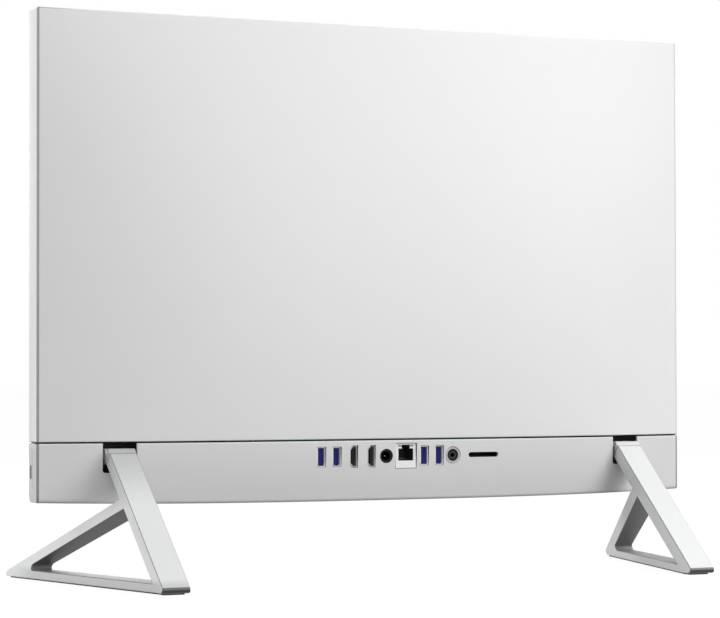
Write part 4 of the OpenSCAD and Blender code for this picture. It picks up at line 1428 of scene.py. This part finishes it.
@dataclass
class SocketLamps:
    """Two small lamps in the upper corners of the network socket.

    Each is a pillow whose face swells by (1 - u ** 4) (1 - v ** 4) of its height between its
    edges at u, v = -1 and 1.

    Attributes:
        edge: rear edge of the frame.
        finish: finish of both lamps.
        behind: how far their faces lie behind that edge.
        x: middle between them across the body.
        z: height of their middles.
        apart: distance between their middles.
        width: width of a lamp.
        height: height of a lamp.
        swell: height of the pillow.
        thick: thickness behind the face.
        steps: grid lines each way.
    """

    edge: float
    finish: Finish
    behind: float = 25.87
    x: float = -13.35
    z: float = 97.6
    apart: float = 10.0
    width: float = 3.0
    height: float = 1.7
    swell: float = 0.2
    thick: float = 0.3
    steps: int = 13

    def build(self) -> None:
        """Make both lamps."""
        u, v = np.meshgrid(*[np.linspace(-1, 1, self.steps)] * 2)
        face = self.edge + self.behind
        rise = self.swell * (1 - u ** 4) * (1 - v ** 4)
        for number, side in enumerate(SIDES, 1):
            x, z = self.x + side * self.apart / 2 + u * self.width / 2, self.z + v * self.height / 2
            back = np.full_like(x, face - self.thick)
            outer, inner = (np.stack([x, y, z], -1) for y in (face + rise, back))
            lamp = walled(f"network_lamp_{number}", outer, inner)
            settle(dress(lamp, self.finish), Rider.DISPLAY, Slot.PLASTIC)


@dataclass
class Inside:
    """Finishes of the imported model's own nodes that stay as they are."""

    finishes: dict[Finish, tuple[str, ...]]

    def build(self) -> None:
        """Put each finish on its nodes."""
        for finish, nodes in self.finishes.items():
            for node in nodes:
                dress(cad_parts[node], finish)
                LOG.info("%s: %s", node, finish.name)


@dataclass(frozen=True)
class Softbox:
    """Square lamp.

    Attributes:
        name: name of the lamp.
        place: where it stands, in metres.
        size: its side in metres.
        power: its power in watts.
        target: what it looks at, in metres.
    """

    name: str
    place: Point
    size: float
    power: float
    target: Point = (0.0, 0.0, 0.25)

    def build(self) -> None:
        """Add the lamp to the scene."""
        lamp = bpy.data.lights.new(self.name, "AREA")
        lamp.size = self.size
        lamp.energy = self.power
        made = placed(self.name, lamp)
        made.location = self.place
        made.rotation_euler = (Vector(self.place) - Vector(self.target)).to_track_quat("Z", "Y").to_euler()


@dataclass
class Stage:
    """Pale floor, soft light and the camera at the photograph's viewing angle.

    Attributes:
        azimuth: turn of the camera from straight behind, in degrees.
        rise: upward tilt of its view, in degrees.
        roll: turn about its view, in degrees.
        place: where it stands, in metres.
        focal: focal length on a sensor of 36 mm.
        ambient: strength of the sky as a light.
        floor_tone: tone of the floor under the lamps.
        floor_glow: even white that the floor shows.
        floor_drop: height of the floor.
        floor_sides: corners of each of its rings.
        floor_rings: radii of its rings.
    """

    azimuth: float = 24.9728
    rise: float = 1.3413
    roll: float = -0.1073
    place: Point = (0.8804789, 1.8411913, 0.1534408)
    focal: float = 134.603
    ambient: float = 0.67
    floor_tone: float = 0.10
    floor_glow: float = 0.92
    floor_drop: float = -0.05
    floor_sides: int = 96
    floor_rings: tuple[float, ...] = (0.0, 300.0, 1200.0, 4000.0, 30000.0)

    def seen(self, graph: Graph) -> Value:
        """One for the rays that show the background: camera, mirror and glass rays.

        Args:
            graph: tree of the material or the world.

        Returns:
            One or zero.
        """
        camera, mirror, glass = (graph.node("ShaderNodeLightPath", out=f"Is {kind} Ray")
                                 for kind in ("Camera", "Glossy", "Transmission"))
        return (camera + mirror + glass) > 0.5

    def floor(self) -> None:
        """Wide disc under the object: an even white that keeps the shadow."""
        sides = self.floor_sides
        angle = np.linspace(0, 2 * np.pi, sides + 1)[:-1]
        radius = np.array(self.floor_rings)[:, None]
        flat = (radius * np.cos(angle), radius * np.sin(angle))
        points = np.stack(np.broadcast_arrays(*flat, self.floor_drop), -1)
        bands = band_faces(len(radius), sides)[:, ::-1]
        middle = np.stack([bands[:sides, 3], bands[:sides, 0], bands[:sides, 1]], -1)
        middle[:, 0] = 0
        disc = mesh_object("floor", points.reshape(-1, 3), bands[sides:], middle)
        graph = Graph(bpy.data.materials.new("studio_floor"))
        matt = graph.node("ShaderNodeBsdfDiffuse", sockets={"Color": grey(self.floor_tone)})
        glow = graph.node("ShaderNodeEmission", sockets={"Strength": self.seen(graph) * self.floor_glow})
        both = graph.node("ShaderNodeAddShader", sockets={0: matt, 1: glow})
        graph.node("ShaderNodeOutputMaterial", sockets={"Surface": both})
        disc.data.materials.append(graph.owner)

    def world(self) -> None:
        """Even sky: white where it is seen, and softer where it only lights."""
        world = bpy.data.worlds.new("studio")
        bpy.context.scene.world = world
        graph = Graph(world)
        strength = self.ambient + self.seen(graph) * (1.0 - self.ambient)
        sky = graph.node("ShaderNodeBackground", sockets={"Color": grey(1.0), "Strength": strength})
        graph.node("ShaderNodeOutputWorld", sockets={"Surface": sky})

    def camera(self) -> None:
        """Camera as fitted to the photograph's edges."""
        turn, rise, roll = (math.radians(v) for v in (self.azimuth, self.rise, self.roll))
        back = Vector((math.sin(turn) * math.cos(rise), math.cos(turn) * math.cos(rise), -math.sin(rise)))
        level = Vector((-math.cos(turn), math.sin(turn), 0.0))
        upright = back.cross(level)
        right = level * math.cos(roll) + upright * math.sin(roll)
        lens = bpy.data.cameras.new("photo_camera")
        lens.lens = self.focal
        lens.sensor_width = 36.0
        lens.sensor_fit = "HORIZONTAL"
        lens.clip_end = 100.0
        made = placed("photo_camera", lens)
        made.location = self.place
        made.rotation_euler = Matrix((right, back.cross(right), back)).transposed().to_euler()
        bpy.context.scene.camera = made

    def build(self) -> None:
        """Set up the stage."""
        self.floor()
        self.world()
        self.camera()
        for lamp in (Softbox("key_lamp", (-1.0, 0.75, 1.1), 1.2, 10.5),
                     Softbox("rear_lamp", (-1.2, 1.9, 1.05), 1.6, 17.0),
                     Softbox("side_lamp", (2.2, -0.5, 1.15), 1.0, 12.5),
                     Softbox("low_lamp", (2.2, 0.05, 0.28), 0.5, 6.5),
                     Softbox("low_front_lamp", (1.9, -1.0, 0.28), 0.5, 3.0),
                     Softbox("front_lamp", (-0.4, -2.4, 0.95), 1.8, 24.0)):
            lamp.build()
        bpy.context.scene.view_settings.view_transform = "Standard"


def cover_finishes(dome: Dome) -> tuple[Finish, Finish, Finish]:
    """Finishes of the upper cover, of the lower cover and of the walls of its port openings.

    Args:
        dome: form of the covers.

    Returns:
        The three finishes.
    """
    top, near, far = dome.above_seam[1], dome.half, -dome.half
    # Painted shade along the covers' ends and the upper cover's top edge, where their rounded edges turn from
    # the light, and a faint broad painted shade over the lower cover's -X end.
    upper_edge_shade = (
        PaintedShade(ACROSS, near, 0.55, 0.72), PaintedShade(ACROSS, far, 1.6, 0.22),
        PaintedShade(UPRIGHT, top, 0.8, 0.45, within=PaintedShade(ACROSS, near, 22.0, soft=0.95)),
        PaintedShade(UPRIGHT, top, 0.8, 0.2, within=PaintedShade(ACROSS, far, 60.0, soft=0.95)))
    lower_edge_shade = (
        PaintedShade(ACROSS, near, 0.5, 0.8), PaintedShade(ACROSS, far, 1.7, 0.7), PaintedShade(ACROSS, far, 140.0, 0.1, 0.95))
    return (Finish("white_moulding", grey(0.83), 0.40, joints=upper_edge_shade),
            Finish("white_chin_moulding", grey(0.78), 0.40, joints=lower_edge_shade),
            Finish("port_rim", grey(0.06, 0.002), 0.6, specular=0.2))


def stand_finishes(dome: Dome, foot: FootShape) -> tuple[Finish, ...]:
    """Finishes of a leg, its window, its sharp edges, its hinge arm and its pad.

    Args:
        dome: form of the covers.
        foot: form of the feet.

    Returns:
        The five finishes.
    """
    down = (0.0, *(float(v) for v in foot.down))
    start = float(foot.hinge @ foot.down)
    heel_middle = np.array([dome.edge + foot.heel, foot.pad + foot.bend])

    def painted_heel_reflection(back: float, up: float, half: float, depth: float, soft: float = 0.2) -> PaintedShade:
        """Painted reflection of the dark floor: a dark line on the heel's arc, where its normal has a
        direction.
        """
        return PaintedShade((0.0, back, up), float(heel_middle @ [back, up]) + foot.bend, half, depth, soft)

    def near_foot(depth: float = 1.0, within: PaintedShade | None = None) -> PaintedShade:
        """The space around the foot at +X: painted shade is kept to it or, with a smaller depth, laid over
        it.
        """
        return PaintedShade(ACROSS, foot.x, 60.0, depth, within=within)

    # Painted shadow of the display body on the upper part of the foot at +X.
    painted_cover_shadow = PaintedShade(down, start + 6.0, 34.0, 0.3, 0.95, near_foot(within=PaintedShade(UPRIGHT, 102.0, 50.0)))
    # Painted shade low on the foot at +X, near the floor, behind its nose.
    sole = PaintedShade(UPRIGHT, 3.0, 5.5, 0.3, 0.5, PaintedShade(BACK, dome.edge + 35.0, 98.0, within=near_foot()))
    # Painted reflection and painted shade of the leg's silver paint.
    painted_leg_shade = (painted_heel_reflection(0.94, -0.342, 1.6, 0.84), painted_heel_reflection(0.5, -0.866, 1.4, 0.8, 0.7), painted_cover_shadow, sole)
    # Painted shade in the gap where the hinge arm meets the top of the bar.
    knuckle = PaintedShade(down, start + foot.joint, 0.7, 0.55)
    paint = {"metallic": 0.1, "drift": 0.05, "coat": 0.1}
    return (Flake("silver_paint", (0.71, 0.715, 0.72), 0.38, joints=painted_leg_shade, **paint),
            # The window's silver paint darkened as painted shade, more on the foot at +X.
            Flake("silver_window_painted_shade", grey(0.26, 0.005), 0.5, drift=0.05, joints=(near_foot(0.3),)),
            # The silver paint darkened as painted shade on the bar's rounded rear edges.
            Flake("silver_edge_painted_shade", grey(0.24, 0.005), 0.4, drift=0.05),
            # Painted shade at the arm's lower end, and the body's painted shadow on the arm at +X.
            Flake("silver_arm_paint", (0.66, 0.665, 0.67), 0.38, joints=(knuckle, near_foot(0.32)), **paint),
            Finish("pad_rubber", grey(0.10), 0.8, grain=0.8, depth=0.03, drift=0.08))


def casing_finishes(dome: Dome) -> tuple[Finish, ...]:
    """Finishes of the frame, the speaker bar, the front glass, the webcam and the power button.

    Args:
        dome: form of the covers.

    Returns:
        The five finishes.
    """
    # Painted shade in the seam between the covers and in the groove between the frame and the covers.
    lines = (PaintedShade(UPRIGHT, dome.seam, 0.9, 0.95), PaintedShade(BACK, dome.edge - 1.2, 1.3, 0.88))
    # Painted shade over the column of sound holes at each end of the speaker bar.
    column = PaintedShade(BACK, dome.edge - 12.0, 2.5)
    holes = tuple(PaintedShade(ACROSS, side * (dome.half - 1.2), 1.15, 0.95, 0.1, column) for side in SIDES)
    return (Finish("white_frame_moulding", grey(0.82), 0.36, joints=lines),
            # The bar's white moulding is painted darker than the frame's, as shade.
            Finish("white_bar_moulding", grey(0.59), 0.36, joints=(*lines, *holes)),
            Screen("black_front_glass", grey(0.010, 0.001), 0.08, grain=30.0, depth=0.001, coat=0.5),
            Finish("white_camera_moulding", grey(0.82), 0.36),
            Finish("button_plastic", grey(0.17, 0.005), 0.4))


def port_finishes(dome: Dome) -> dict[Finish, tuple[str, ...]]:
    """Finishes of the sockets and of what shows behind the leg slots, each with its nodes.

    Args:
        dome: form of the covers.

    Returns:
        Nodes by their finish.
    """
    # Painted shade deep inside the network socket, so that only its rear face stays bright.
    socket = PaintedShade(BACK, dome.edge + 10.0, 15.0, 0.97, 0.02)
    # Painted shade on the hinge brackets deep inside the leg slots.
    slot = PaintedShade(BACK, dome.edge - 12.0, 10.0, 0.97, 0.3)
    return {
        Finish("socket_shield", grey(0.92, 0.01), 0.34, metallic=0.2, grain=0.4): ("usb_shells",),
        Finish("dull_socket_shield", grey(0.50, 0.01), 0.4, metallic=0.3, grain=0.4): ("hdmi_shells",),
        Finish("network_shield", grey(0.88, 0.01), 0.4, metallic=0.1, grain=0.4, joints=(socket,)): (
            "network_jack",),
        Finish("bracket_paint", grey(0.62, 0.005), 0.5, joints=(slot,)): (
            "right_hinge_bracket", "left_hinge_bracket"),
        Finish("dark_pin", grey(0.07, 0.005), 0.4, metallic=0.6, grain=0.5): ("power_jack_pin",),
        Finish("blue_tongue", (0.014, 0.016, 0.15), 0.5, specular=0.12): ("usb_tongues",),
        Brushed("gilt_contact", (0.30, 0.25, 0.16), 0.4, metallic=0.8, grain=0.3): ("network_contacts",),
        Rings("audio_rings", grey(0.60, 0.01), 0.45, specular=0.15, middle=(-53.1, 90.0)): ("audio_jack",),
    }


def inner_finishes() -> dict[Finish, tuple[str, ...]]:
    """Finishes of the pieces inside the case, each with its nodes.

    Returns:
        Nodes by their finish.
    """
    return {
        Brushed("zinc_plated_steel", (0.55, 0.56, 0.58), 0.35, metallic=1.0, grain=0.4): (
            "right_hinge_pin", "left_hinge_pin", "chassis_screws", "board_screws", "port_bracket",
            "drive_caddy"),
        Finish("black_oxide_steel", grey(0.05, 0.005), 0.5, metallic=0.6, grain=0.6): ("chassis_plate",),
        Finish("black_moulding", grey(0.012, 0.001), 0.5, specular=0.15): (
            "hdmi_tongues", "power_jack", "card_reader", "processor", "memory_sockets", "right_speaker",
            "left_speaker", "fan_housing", "fan_rotor"),
        Finish("brass", (0.72, 0.55, 0.28), 0.35, metallic=1.0, grain=0.5): (
            "hinge_washers", "board_standoffs"),
        Brushed("bare_copper", (0.72, 0.38, 0.25), 0.3, metallic=1.0, grain=0.5): ("cold_plate", "heat_pipe"),
        Brushed("bare_aluminium", (0.68, 0.69, 0.7), 0.35, metallic=1.0, grain=0.4): (
            "fin_stack", "hard_drive", "coin_cell"),
        Board("green_board", (0.01, 0.14, 0.06), 0.38, grain=0.6, coat=0.3): (
            "motherboard", "panel_board", "switch_board", "memory_modules", "ssd_module", "wireless_card"),
        Finish("panel_film", grey(0.04, 0.005), 0.3, grain=2.0): ("lcd_panel",),
        Finish("diffuser_sheet", grey(0.75, -0.01), 0.6, grain=1.0): ("backlight_unit",),
        Finish("camera_lens", grey(0.01, 0.01), 0.05, grain=20.0, depth=0.001, coat=1.0): ("webcam_lens",),
        Finish("grey_moulding", grey(0.4, 0.01), 0.5): ("webcam_guide", "antennas", "display_cable"),
    }


def main() -> None:
    """Build every sub-assembly in order, then the stage."""
    logging.basicConfig(level=logging.INFO, format="%(message)s")
    dome = Dome()
    foot = FootShape(dome.edge)
    RearCovers(dome, *cover_finishes(dome)).build()
    Stand(foot, *stand_finishes(dome, foot)).build()
    Casing(*casing_finishes(dome)).build()
    SocketLamps(dome.edge, Finish("lamp_window", grey(0.30, 0.01), 0.3, coat=0.3)).build()
    Inside(port_finishes(dome) | inner_finishes()).build()
    Stage().build()


if __name__ == "__main__":
    main()
